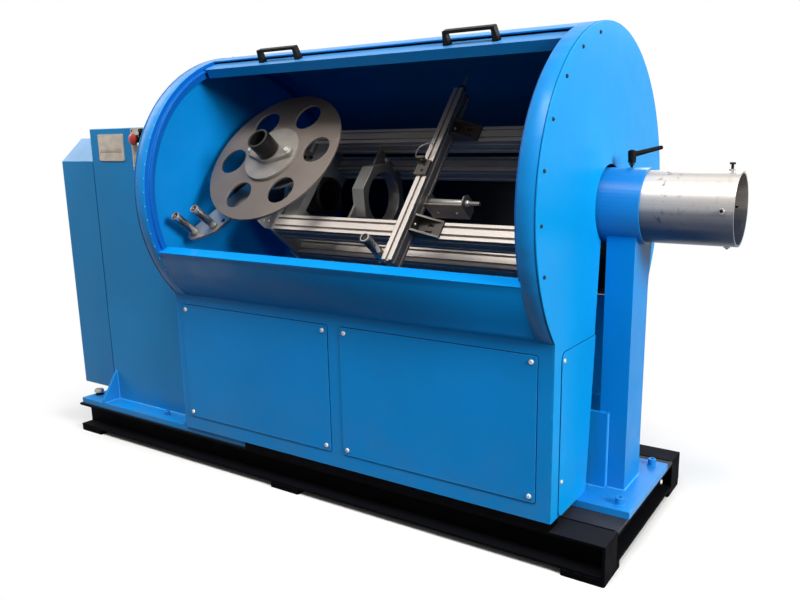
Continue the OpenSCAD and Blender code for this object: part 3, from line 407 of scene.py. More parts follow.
# steels: tone, roughness, then metal share and specular level where they aren't the usual ones
zincSteel = platedSteel("zincSteel", (0.40, 0.39, 0.37), 0.36)
brightZinc = platedSteel("brightZinc", (0.62, 0.60, 0.57), 0.34)
plateSteel = platedSteel("plateSteel", (0.36, 0.355, 0.34), 0.38)
ringSteel = platedSteel("ringSteel", (0.21, 0.207, 0.20), 0.36)
darkSteel = platedSteel("darkSteel", (0.014, 0.0135, 0.0135), 0.36, 0.5, 0.35)
bracketSteel = platedSteel("bracketSteel", (0.075, 0.062, 0.054), 0.42, 0.35)
tapeSteel = platedSteel("tapeSteel", (0.21, 0.19, 0.165), 0.40, 0.4, 0.35)
hubSteel = platedSteel("hubSteel", (0.31, 0.285, 0.258), 0.40, 0.35, 0.35)
blackOxide = platedSteel("blackOxide", (0.008, 0.008, 0.009), 0.4, 0.3, 0.3)
bushBronze = platedSteel("bushBronze", (0.16, 0.07, 0.03), 0.36, 0.7)
rollerSteel = platedSteel("rollerSteel", (0.44, 0.43, 0.42), 0.22, 0.92)

# reel disc: warm grey with faint turning marks round the reel axis
discCoat = {"tone": (0.165, 0.135, 0.115), "edge": (0.30, 0.27, 0.25), "edgeRadius": 0.002, "marks": 900,
            "cloud": (5, 5), "roughCloud": (26, 4), "rough": (0.40, 0.55), "grain": (0.02, 0.0002)}


def discFinish(name):
    finish, tree, shader = newFinish(name)
    tone, (low, high) = discCoat["tone"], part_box("reel_disc")
    far = vectorOf(tree, "LENGTH", vectorOf(tree, "SUBTRACT", spotOf(tree), (low + high) / 2))
    ripple = mathOf(tree, "SINE", mathOf(tree, "MULTIPLY", far, discCoat["marks"]))
    cloud = cloudOf(tree, *discCoat["cloud"], shade(tone, 0.86), shade(tone, 1.1))
    dress(tree, shader, mixOf(tree, edgeMask(tree, discCoat["edgeRadius"]), cloud, discCoat["edge"]),
          cloudOf(tree, *discCoat["roughCloud"], *discCoat["rough"]), (ripple, *discCoat["grain"]), metallic=0.15)
    return finish


discGrey = discFinish("discGrey")
print("finishes made:", len(bpy.data.materials))

# finish of the CAD nodes, and the radius that softens their edges
nodeFinish = (
    (baseBlack, 0.0025, "base_long_beams", "base_cross_beams"), (baseBlack, 0.002, "foot_pads", "cabinet_spacers"),
    (deckGrey, 0.0015, "deck_plate"), (driveBlue, 0.003, "drive_column", "belt_guard"),
    (bodyBlue, 0.002, "drive_base_plate", "support_base_plate"),
    (bodyBlue, 0.001, "cabinet_walls", "front_panels", "left_end_plate"), (bodyBlue, 0, "cabinet_floor"),
    (litEndBlue, 0.001, "right_end_plate", "side_panels"), (leftRimBlue, 0.0015, "left_rim"),
    (rimBlue, 0.0015, "right_rim"), (litLowerBlue, 0.0015, "lower_shell"), (shellBlue, 0.001, "rear_shell", "lid_sheet"),
    (columnBlue, 0.003, "support_column"), (shadedHeadBlue, 0.0025, "bearing_head"), (beigePlate, 0.001, "control_panel"),
    (beigePlate, 0.0006, "info_plate"), (blackPlastic, 0.0008, "control_switches"),
    (blackPlastic, 0.0025, "lid_handles"), (blackPlastic, 0.0012, "clamp_lever"), (redPlastic, 0.0015, "stop_button"),
    (stainless, 0, "guide_tube"), (darkSteel, 0.002, "main_spindle"), (darkSteel, 0.0015, "reel_spindle"),
    (plateSteel, 0.001, "rotor_left_plate", "rotor_right_plate"), (railAluminium, 0.0006, "cage_rails"),
    (armAluminium, 0.0006, "cross_arm"), (bracketSteel, 0.0006, "arm_fittings"), (tapeSteel, 0.0006, "tape_bracket"),
    (ringSteel, 0.0015, "ring_plate"), (zincSteel, 0.001, "tape_roller", "reel_carrier"),
    (rollerSteel, 0.0012, "outer_roller", "inner_roller", "arm_roller"), (discGrey, 0.0012, "reel_disc"),
    (hubSteel, 0.0012, "reel_hub"),
)


edges = {"joinWithin": 0.00002, "segments": 2, "easeFrom": 40, "sharpFrom": 38}  # angles in degrees


def softenEdges(solid, radius):
    join = solid.modifiers.new("joinCorners", "WELD")
    join.merge_threshold = edges["joinWithin"]
    ease = solid.modifiers.new("easeEdges", "BEVEL")
    ease.width = radius
    ease.segments = edges["segments"]
    ease.limit_method = "ANGLE"
    ease.angle_limit = math.radians(edges["easeFrom"])
    ease.harden_normals = True


for finish, radius, *names in nodeFinish:
    for name in names:
        cad[name].data.materials.clear()
        cad[name].data.materials.append(finish)
        if radius:
            softenEdges(cad[name], radius)
print("solids finished:", len(cad))


# small parts are turned or cut here and joined into one mesh for each body and finish
def turned(bm, profile, place, steps=24):  # a third entry in a ring makes it a hexagon
    rings = []
    for entry in profile:
        radius, height = entry[0], entry[1]
        if radius == 0:
            rings.append([bm.verts.new(place @ Vector((0, 0, height)))])
            continue
        ring = []
        for k in range(steps):
            angle = 2 * math.pi * k / steps
            reach = radius / math.cos(angle % (math.pi / 3) - math.pi / 6) if len(entry) == 3 else radius
            ring.append(bm.verts.new(place @ Vector((reach * math.cos(angle), reach * math.sin(angle), height))))
        rings.append(ring)
    for low, high in zip(rings, rings[1:]):
        for a in range(steps):
            b = (a + 1) % steps
            if len(low) > 1 and len(high) > 1:
                bm.faces.new((low[a], low[b], high[b], high[a]))
            elif len(high) > 1:
                bm.faces.new((low[0], high[b], high[a]))
            elif len(low) > 1:
                bm.faces.new((low[a], low[b], high[0]))


def sized(size, profile, lift=0.0):  # a profile that is given as shares of one size
    return [(radius * size, lift + height * size, *hexagon) for radius, height, *hexagon in profile]


def washer(bm, place, radius, thick):
    turned(bm, [(0, 0), (radius, 0), (radius, thick * 0.7), (radius - thick * 0.3, thick), (0, thick)], place)


def thread(bm, place, radius, start, length):  # bolt end with ridges and a chamfer
    pitch, profile = radius * 0.32, [(radius * 0.9, start)]
    turns = max(2, int(length / pitch))
    for k in range(turns):
        at = start + length * (k + 0.5) / turns
        profile += [(radius, at), (radius * 0.88, at + pitch * 0.3)]
    profile += [(radius * 0.75, start + length), (0, start + length)]
    turned(bm, profile, place)


def hexHead(bm, place, across, base=0.0):
    turned(bm, sized(across, [(0, 0), (0.5, 0, 1), (0.5, 0.36, 1), (0.47, 0.42), (0.3, 0.42), (0.275, 0.40), (0, 0.40)],
                     base), place)


def hexBolt(bm, place, across):
    washer(bm, place, across * 0.68, across * 0.14)
    hexHead(bm, place, across, across * 0.13)


def domeScrew(bm, place, radius):
    turned(bm, sized(radius, [(1, 0), (1, 0.12), (0.93, 0.34), (0.74, 0.55), (0.55, 0.63), (0.42, 0.63, 1),
                              (0.4032, 0.2, 1), (0, 0.16)]), place)


def domeRivet(bm, place, radius):
    turned(bm, sized(radius, [(1, 0), (0.95, 0.2), (0.75, 0.42), (0.4, 0.56), (0, 0.6)]), place, 16)


def capScrew(bm, place, radius, height=1.0):
    turned(bm, sized(radius, [(1, 0), (1, height), (0.9, height + 0.12), (0.55, height + 0.12), (0.5, height + 0.05, 1),
                              (0.5, height - 0.6, 1), (0, height - 0.65)]), place)


def hexNut(bm, place, across, hole, thick):
    half = across / 2
    turned(bm, [(hole, 0), (half, 0, 1), (half, thick * 0.88, 1), (half * 0.95, thick), (hole * 1.12, thick),
                (hole, thick * 0.9), (hole, 0)], place)


def weldBead(bm, start, end, radius, seed):  # rippled bead along a straight seam
    start, end = Vector(start), Vector(end)
    run = end - start
    waves = random.Random(seed)
    steps = max(6, int(run.length / (radius * 0.7)))
    profile = [(0, 0)]
    for k in range(steps + 1):
        swell = 0.86 + 0.14 * math.sin(k * 1.9) + waves.uniform(-0.05, 0.05)
        profile.append((radius * swell, run.length * k / steps))
    profile.append((0, run.length))
    turned(bm, profile, standAt(start, run), 10)


def roundedLoop(width, height, corner, steps=6):
    loop = []
    for cx, cy, first in ((1, 1, 0), (-1, 1, 90), (-1, -1, 180), (1, -1, 270)):
        for k in range(steps + 1):
            angle = math.radians(first + 90 * k / steps)
            loop.append(Vector((cx * (width / 2 - corner) + corner * math.cos(angle),
                                cy * (height / 2 - corner) + corner * math.sin(angle), 0)))
    return loop


def ringOf(bm, place, points, up=0.0):
    return [bm.verts.new(place @ (point + Vector((0, 0, up)))) for point in points]


def bridgeRings(bm, rings, looped=False):  # a run that isn't looped gets two end faces
    pairs = list(zip(rings, rings[1:])) + ([(rings[-1], rings[0])] if looped else [])
    for low, high in pairs:
        for a in range(len(low)):
            b = (a + 1) % len(low)
            bm.faces.new((low[a], low[b], high[b], high[a]))
    if not looped:
        bm.faces.new(rings[0])
        bm.faces.new(rings[-1])


def trimFrame(bm, place, width, height, corner, band, thick):  # a band round a panel
    inner, outer = roundedLoop(width, height, corner), roundedLoop(width + 2 * band, height + 2 * band, corner + band)
    rows = [(inner, 0), (inner, thick), (outer, thick * 0.8), (outer, 0)]
    bridgeRings(bm, [ringOf(bm, place, row, up) for row, up in rows], looped=True)


def softPlate(bm, place, width, height, corner, thick, ease):  # plate with an eased upper edge
    rows = [(0, 0), (0, thick - ease), (ease, thick - ease * 0.3), (2 * ease, thick)]
    bridgeRings(bm, [ringOf(bm, place, roundedLoop(width - cut, height - cut, corner), up) for cut, up in rows])


def flatStrip(bm, place, points, width, thick):  # a narrow band along an open path in a face
    points = [Vector(p) for p in points]
    rings = []
    for k, point in enumerate(points):
        way = (points[min(k + 1, len(points) - 1)] - points[max(k - 1, 0)]).normalized()
        side = Vector((-way.y, way.x)) * width / 2
        rows = ((point - side, 0), (point - side, thick), (point + side, thick), (point + side, 0))
        rings.append([bm.verts.new(place @ Vector((spot.x, spot.y, up))) for spot, up in rows])
    bridgeRings(bm, rings)


def hoodBand(bm, x0, x1, inner, outer, first, last, steps=120):  # a thin ring section round the hood axis
    rings = []
    for k in range(steps + 1):
        angle = first + (last - first) * k / steps
        rings.append([bm.verts.new(hoodSpot(x, radius, angle))
                      for x, radius in ((x0, inner), (x0, outer), (x1, outer), (x1, inner))])
    bridgeRings(bm, rings)


def wireAlong(bm, points, radius, sides=8, steps=8):  # a wire through points on a smooth curve
    points = [Vector(p) for p in points]
    last, path = len(points) - 1, []
    for k in range(last):
        before, start, end, after = points[max(k - 1, 0)], points[k], points[k + 1], points[min(k + 2, last)]
        for s in range(steps):
            t = s / steps
            path.append(0.5 * (2 * start + (end - before) * t + (2 * before - 5 * start + 4 * end - after) * t * t
                               + (3 * start - before - 3 * end + after) * t ** 3))
    path.append(points[-1])
    turns = [2 * math.pi * a / sides for a in range(sides)]
    section = [Vector((radius * math.cos(turn), radius * math.sin(turn), 0)) for turn in turns]
    rings = []
    for k, point in enumerate(path):
        way = path[min(k + 1, len(path) - 1)] - path[max(k - 1, 0)]
        rings.append(ringOf(bm, standAt(point, way), section))
    bridgeRings(bm, rings)


def makePiece(name, body, finish, build):
    mesh = bpy.data.meshes.new(name)
    bm = bmesh.new()
    build(bm)
    bmesh.ops.recalc_face_normals(bm, faces=bm.faces)
    bm.to_mesh(mesh)
    bm.free()
    mesh.shade_smooth()
    mesh.set_sharp_from_angle(angle=math.radians(edges["sharpFrom"]))
    mesh.materials.append(finish)
    piece = bpy.data.objects.new(name, mesh)
    bpy.context.collection.objects.link(piece)
    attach(piece, body)
    return piece


# front panels: dome screws at the corners and a dark joint round each panel, repeated on the rear wall
frontPanels = {"screwRadius": 0.0075, "inset": 0.018, "joint": 0.0022, "jointProud": 0.0012, "corner": 0.006}


def panelBoxes():  # the two panels share a node, with a gap between them
    low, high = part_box("front_panels")
    xs = sorted(set(round(v.co.x, 4) for v in cad["front_panels"].data.vertices))
    widest = sorted(((b - a, a, b) for a, b in zip(xs, xs[1:])), reverse=True)[:3]
    gap = sorted(widest, key=lambda stretch: stretch[1])[1]  # panel, gap, panel
    return [(low, Vector((gap[1], high.y, high.z))), (Vector((gap[2], low.y, low.z)), high)]


panels = panelBoxes()


def buildPanelScrews(bm):
    for low, high in panels:
        for x, z in cornerSpots(low, high, frontPanels["inset"]):
            domeScrew(bm, standAt((x, low.y, z), toFront, x * 9), frontPanels["screwRadius"])
            domeScrew(bm, standAt((x, -cabinetFront, z), toRear, x * 7), frontPanels["screwRadius"])


def buildPanelJoints(bm):
    for low, high in panels:
        for y, across in ((cabinetFront, toRight), (-cabinetFront, toLeft)):
            middle = ((low.x + high.x) / 2, y, (low.z + high.z) / 2)
            trimFrame(bm, facePlace(middle, across), high.x - low.x, high.z - low.z, frontPanels["corner"],
                      frontPanels["joint"], frontPanels["jointProud"])


makePiece("panelScrews", "machine_frame", brightZinc, buildPanelScrews)
makePiece("panelJoints", "machine_frame", jointDark, buildPanelJoints)
print("front panels dressed")

# side panels beside the support column: a joint with round upper corners, and dome screws
sidePanels = {"corner": 0.022, "cornerSteps": 8, "joint": 0.0024, "proud": 0.0014, "footGap": 0.002, "slotIn": 0.094,
              "screwRadius": 0.007, "screwIn": 0.013, "screwHeights": (0.600, 0.248)}
sideLow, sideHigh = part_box("side_panels")


def buildSideJoints(bm):
    corner, steps = sidePanels["corner"], sidePanels["cornerSteps"]
    for side in (-1, 1):
        path = [(side * sideHigh.y, sideLow.z + sidePanels["footGap"])]
        for k in range(steps + 1):
            turn = math.radians(90 * k / steps)
            path.append((side * (sideHigh.y - corner + corner * math.cos(turn)),
                         sideHigh.z - corner + corner * math.sin(turn)))
        path.append((side * sidePanels["slotIn"], sideHigh.z))
        flatStrip(bm, facePlace((rightFace, 0, 0), toRear), path, sidePanels["joint"], sidePanels["proud"])


def buildSideScrews(bm):
    for side in (-1, 1):
        for z in sidePanels["screwHeights"]:
            spot = (sideHigh.x, side * (sideHigh.y - sidePanels["screwIn"]), z)
            domeScrew(bm, standAt(spot, toRight, z * 5), sidePanels["screwRadius"])


makePiece("sidePanelJoints", "machine_frame", jointDark, buildSideJoints)
makePiece("sidePanelScrews", "machine_frame", brightZinc, buildSideScrews)

# hood: dark screws round both end plates, a thin joint at each rim, small rivets along the left rim
hood = {"screwCircle": 0.485, "firstScrew": -18.4, "screwStep": 15.5, "screws": 15, "lastRight": 80, "head": 0.0056,
        "clear": 0.008, "foot": 42.0, "jointWidth": 0.0018, "jointProud": 0.0005, "jointDeep": 0.001,
        "rivet": 0.0034, "rivetStep": 5.2, "rivetStart": 0.6, "rimWidth": 0.050, "rivetIn": 0.004}


def clearOfColumn(spot):
    clear = hood["clear"]
    return spot.y < driveLow.y - clear or spot.y > driveHigh.y + clear or spot.z > driveHigh.z + clear


def buildEndScrews(bm):
    for k in range(hood["screws"]):
        angle = hood["firstScrew"] + k * hood["screwStep"]
        if angle < hood["lastRight"]:  # the right plate is screwed along its front half
            domeScrew(bm, standAt(hoodSpot(rightFace, hood["screwCircle"], angle), toRight, k), hood["head"])
        spot = hoodSpot(leftFace, hood["screwCircle"], angle)
        if clearOfColumn(spot):
            domeScrew(bm, standAt(spot, toLeft, k), hood["head"])


def buildRimJoints(bm):
    half = hood["jointWidth"] / 2
    for x in (rightFace - endSheet, leftFace + endSheet):
        hoodBand(bm, x - half, x + half, hoodRadius - hood["jointDeep"], hoodRadius + hood["jointProud"],
                 -hood["foot"], 180 + hood["foot"])


def buildRimRivets(bm):
    x = leftFace + endSheet + hood["rimWidth"] - hood["rivetIn"]
    for k in range(int((180 + 2 * hood["foot"]) / hood["rivetStep"])):
        spot = hoodSpot(x, hoodRadius, -hood["foot"] + (k + hood["rivetStart"]) * hood["rivetStep"])
        domeRivet(bm, standAt(spot, fromAxis(spot)), hood["rivet"])


makePiece("endPlateScrews", "machine_frame", blackOxide, buildEndScrews)
makePiece("rimJoints", "machine_frame", jointBlue, buildRimJoints)
makePiece("rimRivets", "machine_frame", rivetHighlightBlue, buildRimRivets)
print("hood dressed")

# label plate on the drive column, left bare: rivets and a plain darker field
labelPlate = {"rivet": 0.0028, "inset": 0.006, "fieldHeight": 0.017, "fieldAt": 0.40, "fieldMargin": 0.012}
labelLow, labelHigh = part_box("info_plate")


def buildLabelRivets(bm):
    for x, z in cornerSpots(labelLow, labelHigh, labelPlate["inset"]):
        domeRivet(bm, standAt((x, labelLow.y, z), toFront), labelPlate["rivet"])


def buildLabelField(bm):
    width, height = labelHigh.x - labelLow.x, labelHigh.z - labelLow.z
    middle = ((labelLow.x + labelHigh.x) / 2, labelLow.y, labelLow.z + height * labelPlate["fieldAt"])
    softPlate(bm, facePlace(middle), width - 2 * labelPlate["fieldMargin"], labelPlate["fieldHeight"],
              corner=0.001, thick=0.0003, ease=0.0001)


makePiece("labelRivets", "machine_frame", zincSteel, buildLabelRivets)
makePiece("labelField", "machine_frame", bandBeige, buildLabelField)

# control panel: black switch block with white caps, a bare yellow plate, button collar and corner screws
controls = {"block": (0.034, 0.076), "blockThick": 0.006, "cap": 0.012, "yellowAt": (0.021, 0.034),
            "yellow": (0.028, 0.024), "collar": 0.0165, "screw": 0.0036, "screwIn": 0.008}
controlLow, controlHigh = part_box("control_panel")
switchLow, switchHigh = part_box("control_switches")
stopLow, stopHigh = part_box("stop_button")


def controlPlace(x, z):
    return facePlace((x, controlLow.y, z))


def switchSpots():
    x, reach = (switchLow.x + switchHigh.x) / 2, (switchHigh.x - switchLow.x) / 2
    return [(x, switchLow.z + reach), (x, switchHigh.z - reach)]


def buildSwitchBlock(bm):
    (x, lower), (x, upper) = switchSpots()
    softPlate(bm, controlPlace(x, (lower + upper) / 2), *controls["block"], corner=0.003,
              thick=controls["blockThick"], ease=0.0015)
    stop = controlPlace((stopLow.x + stopHigh.x) / 2, (stopLow.z + stopHigh.z) / 2)
    collar = controls["collar"]
    turned(bm, [(collar * 0.6, 0), (collar, 0), (collar, 0.004), (collar * 0.94, 0.005), (collar * 0.6, 0.005),
                (collar * 0.6, 0)], stop, 32)


def buildSwitchCaps(bm):
    for x, z in switchSpots():
        softPlate(bm, facePlace((x, switchLow.y, z)), controls["cap"], controls["cap"], corner=0.002, thick=0.003,
                  ease=0.0006)


def buildYellowPlate(bm):
    right, up = controls["yellowAt"]
    softPlate(bm, controlPlace(controlLow.x + right, controlLow.z + up), *controls["yellow"], corner=0.002, thick=0.001,
              ease=0.0004)


def buildControlScrews(bm):
    for x, z in cornerSpots(controlLow, controlHigh, controls["screwIn"]):
        domeScrew(bm, controlPlace(x, z), controls["screw"])


makePiece("switchBlock", "machine_frame", blackPlastic, buildSwitchBlock)
makePiece("switchCaps", "machine_frame", whitePlastic, buildSwitchCaps)
makePiece("yellowPlate", "machine_frame", yellowPlate, buildYellowPlate)
makePiece("controlScrews", "machine_frame", blackOxide, buildControlScrews)
print("controls dressed")

# guide tube: four clamping screws near the mouth, the upper one long, each in a weld nut
tubeScrews = {"fromMouth": 0.030, "seat": 0.0006, "nutAcross": 0.015, "nutThick": 0.005, "hole": 0.0045,
              "shank": 0.004, "reach": 0.017, "sunk": 0.003, "head": 0.014, "setReach": 0.003, "socket": 0.004}


def tubePlaces():
    x = tubeHigh.x - tubeScrews["fromMouth"]
    for angle in (0, 90, 180, 270):
        yield angle, standAt(hoodSpot(x, tubeHigh.y - tubeScrews["seat"], angle), fromAxis(hoodSpot(x, 1, angle)))


def buildTubeNuts(bm):
    for angle, place in tubePlaces():
        hexNut(bm, place, tubeScrews["nutAcross"], tubeScrews["hole"], tubeScrews["nutThick"])


def buildTubeScrews(bm):
    shank, top = tubeScrews["shank"], tubeScrews["nutThick"] + tubeScrews["setReach"]
    bottom = top - tubeScrews["socket"]
    for angle, place in tubePlaces():
        if angle == 90:
            thread(bm, place, shank, -tubeScrews["sunk"], tubeScrews["reach"] + tubeScrews["sunk"])
            hexHead(bm, place, tubeScrews["head"], tubeScrews["reach"])
        else:  # set screw with a socket
            turned(bm, [(shank, -0.002), (shank, top - 0.0008), (shank * 0.85, top), (shank * 0.6, top, 1),
                        (shank * 0.6, bottom, 1), (0, bottom)], place)


makePiece("tubeNuts", "guide_tube", zincSteel, buildTubeNuts)
makePiece("tubeScrews", "guide_tube", blackOxide, buildTubeScrews)

# clamp lever: a cap over the hub screw and a steel collar under the hub
leverParts = {"headTop": 0.110, "hubTop": 0.157, "cap": 0.0085, "capThick": 0.003, "collar": 0.0075,
              "collarFrom": 0.0062, "collarTo": 0.0126}


def leverPlace(height):
    x, y = joints["lever_turn"]["pos_m"][:2]
    return Matrix.Translation((x, y, axisHeight + height))


def buildLeverCollar(bm):
    collar, low, top = leverParts["collar"], leverParts["collarFrom"], leverParts["collarTo"]
    turned(bm, [(collar * 0.55, low), (collar, low), (collar, top - 0.0008), (collar * 0.9, top), (collar * 0.55, top),
                (collar * 0.55, low)], leverPlace(leverParts["headTop"]))


def buildLeverCap(bm):
    cap, thick = leverParts["cap"], leverParts["capThick"]
    turned(bm, [(cap, -0.0005), (cap, thick * 0.5), (cap * 0.8, thick), (cap * 0.35, thick),
                (cap * 0.3, thick * 0.4, 1), (0, thick * 0.4)], leverPlace(leverParts["hubTop"]))


makePiece("leverCollar", "clamp_lever", blackOxide, buildLeverCollar)
makePiece("leverCap", "clamp_lever", blackOxide, buildLeverCap)
print("tube and lever dressed")

# base: painted socket bolts on both plates, levelling bolts on the drive plate, small bolt on the frame's end
supportBolt = {"inset": 0.043, "back": 0.130, "side": 0.162, "radius": 0.013, "height": 1.45, "washer": 0.017}
driveBolt = {"back": 0.170, "side": 0.334, "radius": 0.011, "height": 1.3, "washer": 0.015}
socketWasher = {"thick": 0.002, "lift": 0.0018}
levelBolt = {"inset": 0.030, "side": 0.312, "across": 0.032, "rise": 0.012, "sleeve": 0.015}
frameBolt = {"back": 0.142, "height": 0.101, "radius": 0.008, "turn": 0.3}
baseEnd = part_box("base_long_beams")[1].x


def socketBolt(bm, x, side, spin, bolt):
    place = standAt((x, side * bolt["side"], plateTop), upward, spin)
    washer(bm, place, bolt["washer"], socketWasher["thick"])
    capScrew(bm, raised(place, socketWasher["lift"]), bolt["radius"], bolt["height"])


def buildSupportBolts(bm):
    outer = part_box("support_base_plate")[1].x - supportBolt["inset"]
    for side in (-1, 1):
        for x in (outer, rightFace - supportBolt["back"]):
            socketBolt(bm, x, side, x, supportBolt)


def buildDriveBolts(bm):
    for side in (-1, 1):
        socketBolt(bm, leftFace - driveBolt["back"], side, side, driveBolt)


def levelPlaces(turn):
    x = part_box("drive_base_plate")[0].x + levelBolt["inset"]
    return [standAt((x, side * levelBolt["side"], plateTop), upward, turn * x) for side in (-1, 1)]


def buildLevelHeads(bm):
    for place in levelPlaces(1):
        hexHead(bm, place, levelBolt["across"], levelBolt["rise"])


def buildLevelSleeves(bm):
    sleeve, rise = levelBolt["sleeve"], levelBolt["rise"]
    for place in levelPlaces(0):
        turned(bm, [(0, 0), (sleeve * 1.15, 0), (sleeve * 1.15, rise * 0.4), (sleeve * 0.9, rise * 0.5),
                    (sleeve * 0.9, rise), (0, rise)], place)


def buildFrameBolt(bm):
    spot = (baseEnd, frameBolt["back"], frameBolt["height"])
    domeScrew(bm, standAt(spot, toRight, frameBolt["turn"]), frameBolt["radius"])


makePiece("supportBolts", "machine_frame", bodyBlue, buildSupportBolts)
makePiece("driveBolts", "machine_frame", bodyBlue, buildDriveBolts)
makePiece("levelHeads", "machine_frame", zincSteel, buildLevelHeads)
makePiece("levelSleeves", "machine_frame", blackOxide, buildLevelSleeves)
makePiece("frameBolt", "machine_frame", brightZinc, buildFrameBolt)

# weld beads, painted over: column feet with gussets, support post with stiffeners, deck and beam ends
bead, smallBead, beadStart = 0.0042, 0.0030, 0.004
columnWelds = {"inset": 0.028, "gussets": (0.012, 0.024), "rise": 0.122, "reach": 0.070}
postWelds = {"near": 0.020, "far": 0.105, "side": 0.072, "inset": 0.032, "stiffener": 0.028, "rise": 0.241,
             "back": 0.150, "stiffenerSide": 0.084}
deckWelds = {"inset": 0.010, "beamIn": 0.009, "beamSide": 0.334, "beamHeights": (0.032, 0.110)}


def buildBlueWelds(bm):
    inset, (near, far) = columnWelds["inset"], columnWelds["gussets"]
    for side in (-1, 1):
        y = side * driveHigh.y
        weldBead(bm, (driveLow.x + inset, y, plateTop), (driveHigh.x - inset, y, plateTop), bead, 3)
        for x in (driveLow.x + near, driveLow.x + far, driveHigh.x - far, driveHigh.x - near):
            weldBead(bm, (x, y, plateTop + beadStart), (x, y, plateTop + columnWelds["rise"]), smallBead, 5)
            weldBead(bm, (x, y, plateTop), (x, y + side * columnWelds["reach"], plateTop), smallBead, 6)
    postLow, postHigh = rightFace + postWelds["near"], rightFace + postWelds["far"]
    x, back = postLow + postWelds["stiffener"], rightFace - postWelds["back"]
    for side in (-1, 1):
        y = side * postWelds["side"]
        weldBead(bm, (postLow + postWelds["inset"], y, plateTop), (postHigh, y, plateTop), bead, 7)
        y += side * beadStart
        weldBead(bm, (x, y, plateTop + beadStart), (x, y, plateTop + postWelds["rise"]), bead, 8)
        y = side * postWelds["stiffenerSide"]
        weldBead(bm, (back, y, plateTop), (x, y, plateTop), smallBead, 9)
    weldBead(bm, (postHigh, -postWelds["side"], plateTop), (postHigh, postWelds["side"], plateTop), bead, 10)


def buildBlackWelds(bm):
    deckLow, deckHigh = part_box("deck_plate")
    low, high = deckWelds["beamHeights"]
    for side in (-1, 1):
        y = side * deckHigh.y
        weldBead(bm, (deckLow.x, y, deckHigh.z), (baseEnd - deckWelds["inset"], y, deckHigh.z), smallBead, 11)
        x, y = baseEnd - deckWelds["beamIn"], side * deckWelds["beamSide"]
        weldBead(bm, (x, y, low), (x, y, high), smallBead, 12)


makePiece("blueWelds", "machine_frame", weldHighlightBlue, buildBlueWelds)
makePiece("blackWelds", "machine_frame", baseBlack, buildBlackWelds)
print("base dressed")

# rotor cage: dark screws on the angle brackets, tape eye and carrier bar
bracket = {"head": 0.0062, "smallHead": 0.00496, "pitch": 0.0124, "lift": 0.007, "rightOff": 0.0495,
           "rightShifts": (-0.007, 0.009), "leftOff": 0.0265}
tapeEye = {"head": 0.005, "shifts": (-0.012, 0.010), "off": 0.019, "lift": 0.008}
carrierBar = {"cap": 0.0064, "capHeight": 0.8, "insets": (0.046, 0.020), "side": 0.036}
armLow, armHigh = cageBox("cross_arm")
railLow, railHigh = cageBox("cage_rails")
railHalf = 0.030
railSide, railTop = railHigh.y - railHalf, railHigh.z


def plateTopOf(node):  # the height where most of a node's upward faces lie
    heights = {}
    for face in cad[node].data.polygons:
        normal = cage.to_3x3().inverted() @ face.normal
        if normal.z > 0.99:
            height = round((cage.inverted() @ face.center).z, 4)
            heights[height] = heights.get(height, 0) + face.area
    return max(heights, key=heights.get)


carrierTop = plateTopOf("reel_carrier")


def buildBracketScrews(bm):
    z = railTop + bracket["lift"]
    for side in (-1, 1):
        for off in (-bracket["pitch"], bracket["pitch"]):
            y = side * railSide + off
            for shift in bracket["rightShifts"]:
                x = armHigh.x + bracket["rightOff"] + shift
                domeScrew(bm, inCage((x, y, z), upward, off * 90), bracket["smallHead"])
            domeScrew(bm, inCage((armLow.x - bracket["leftOff"], y, z), upward, off * 50), bracket["head"])
    for y in tapeEye["shifts"]:
        spot = (armLow.x + tapeEye["off"], y, armHigh.z + tapeEye["lift"])
        domeScrew(bm, inCage(spot, upward, y), tapeEye["head"])
    carrierEnd = cageBox("reel_carrier")[1].x
    for side in (-1, 1):
        for inset in carrierBar["insets"]:
            spot = (carrierEnd - inset, side * carrierBar["side"], carrierTop)
            capScrew(bm, inCage(spot, upward, spot[0]), carrierBar["cap"], carrierBar["capHeight"])


makePiece("bracketScrews", "rotor", blackOxide, buildBracketScrews)

# rail ends: cap screws through both end plates
railCap = {"radius": 0.0065, "pitch": 0.013, "slant": 0.4, "plate": 0.016}


def buildRailCaps(bm):
    leftEnd, rightEnd = railLow.x - railCap["plate"], cageBox("rotor_right_plate")[0].x + railCap["plate"]
    for sideY in (-1, 1):
        for sideZ in (-1, 1):
            for off in (-railCap["pitch"], railCap["pitch"]):
                y, z = sideY * railSide + off, sideZ * (railTop - railHalf) - off * railCap["slant"]
                capScrew(bm, inCage((leftEnd, y, z), toLeft, off), railCap["radius"])
                capScrew(bm, inCage((rightEnd, y, z), toRight, off), railCap["radius"])


makePiece("railCaps", "rotor", blackOxide, buildRailCaps)

# bright bolts: arm legs, pointed rail-end brackets, ring plate and the arm roller's block
legBolt = {"across": 0.007, "off": 0.007, "lift": 0.028}
tipScrew = {"radius": 0.0045, "back": (0.022, 0.046)}
ringBolt = {"across": 0.014, "side": 0.146, "pitch": 0.026, "off": 0.008}
blockScrew = {"radius": 0.004, "right": 0.017, "back": 0.008, "lift": 0.020, "turn": 0.4}


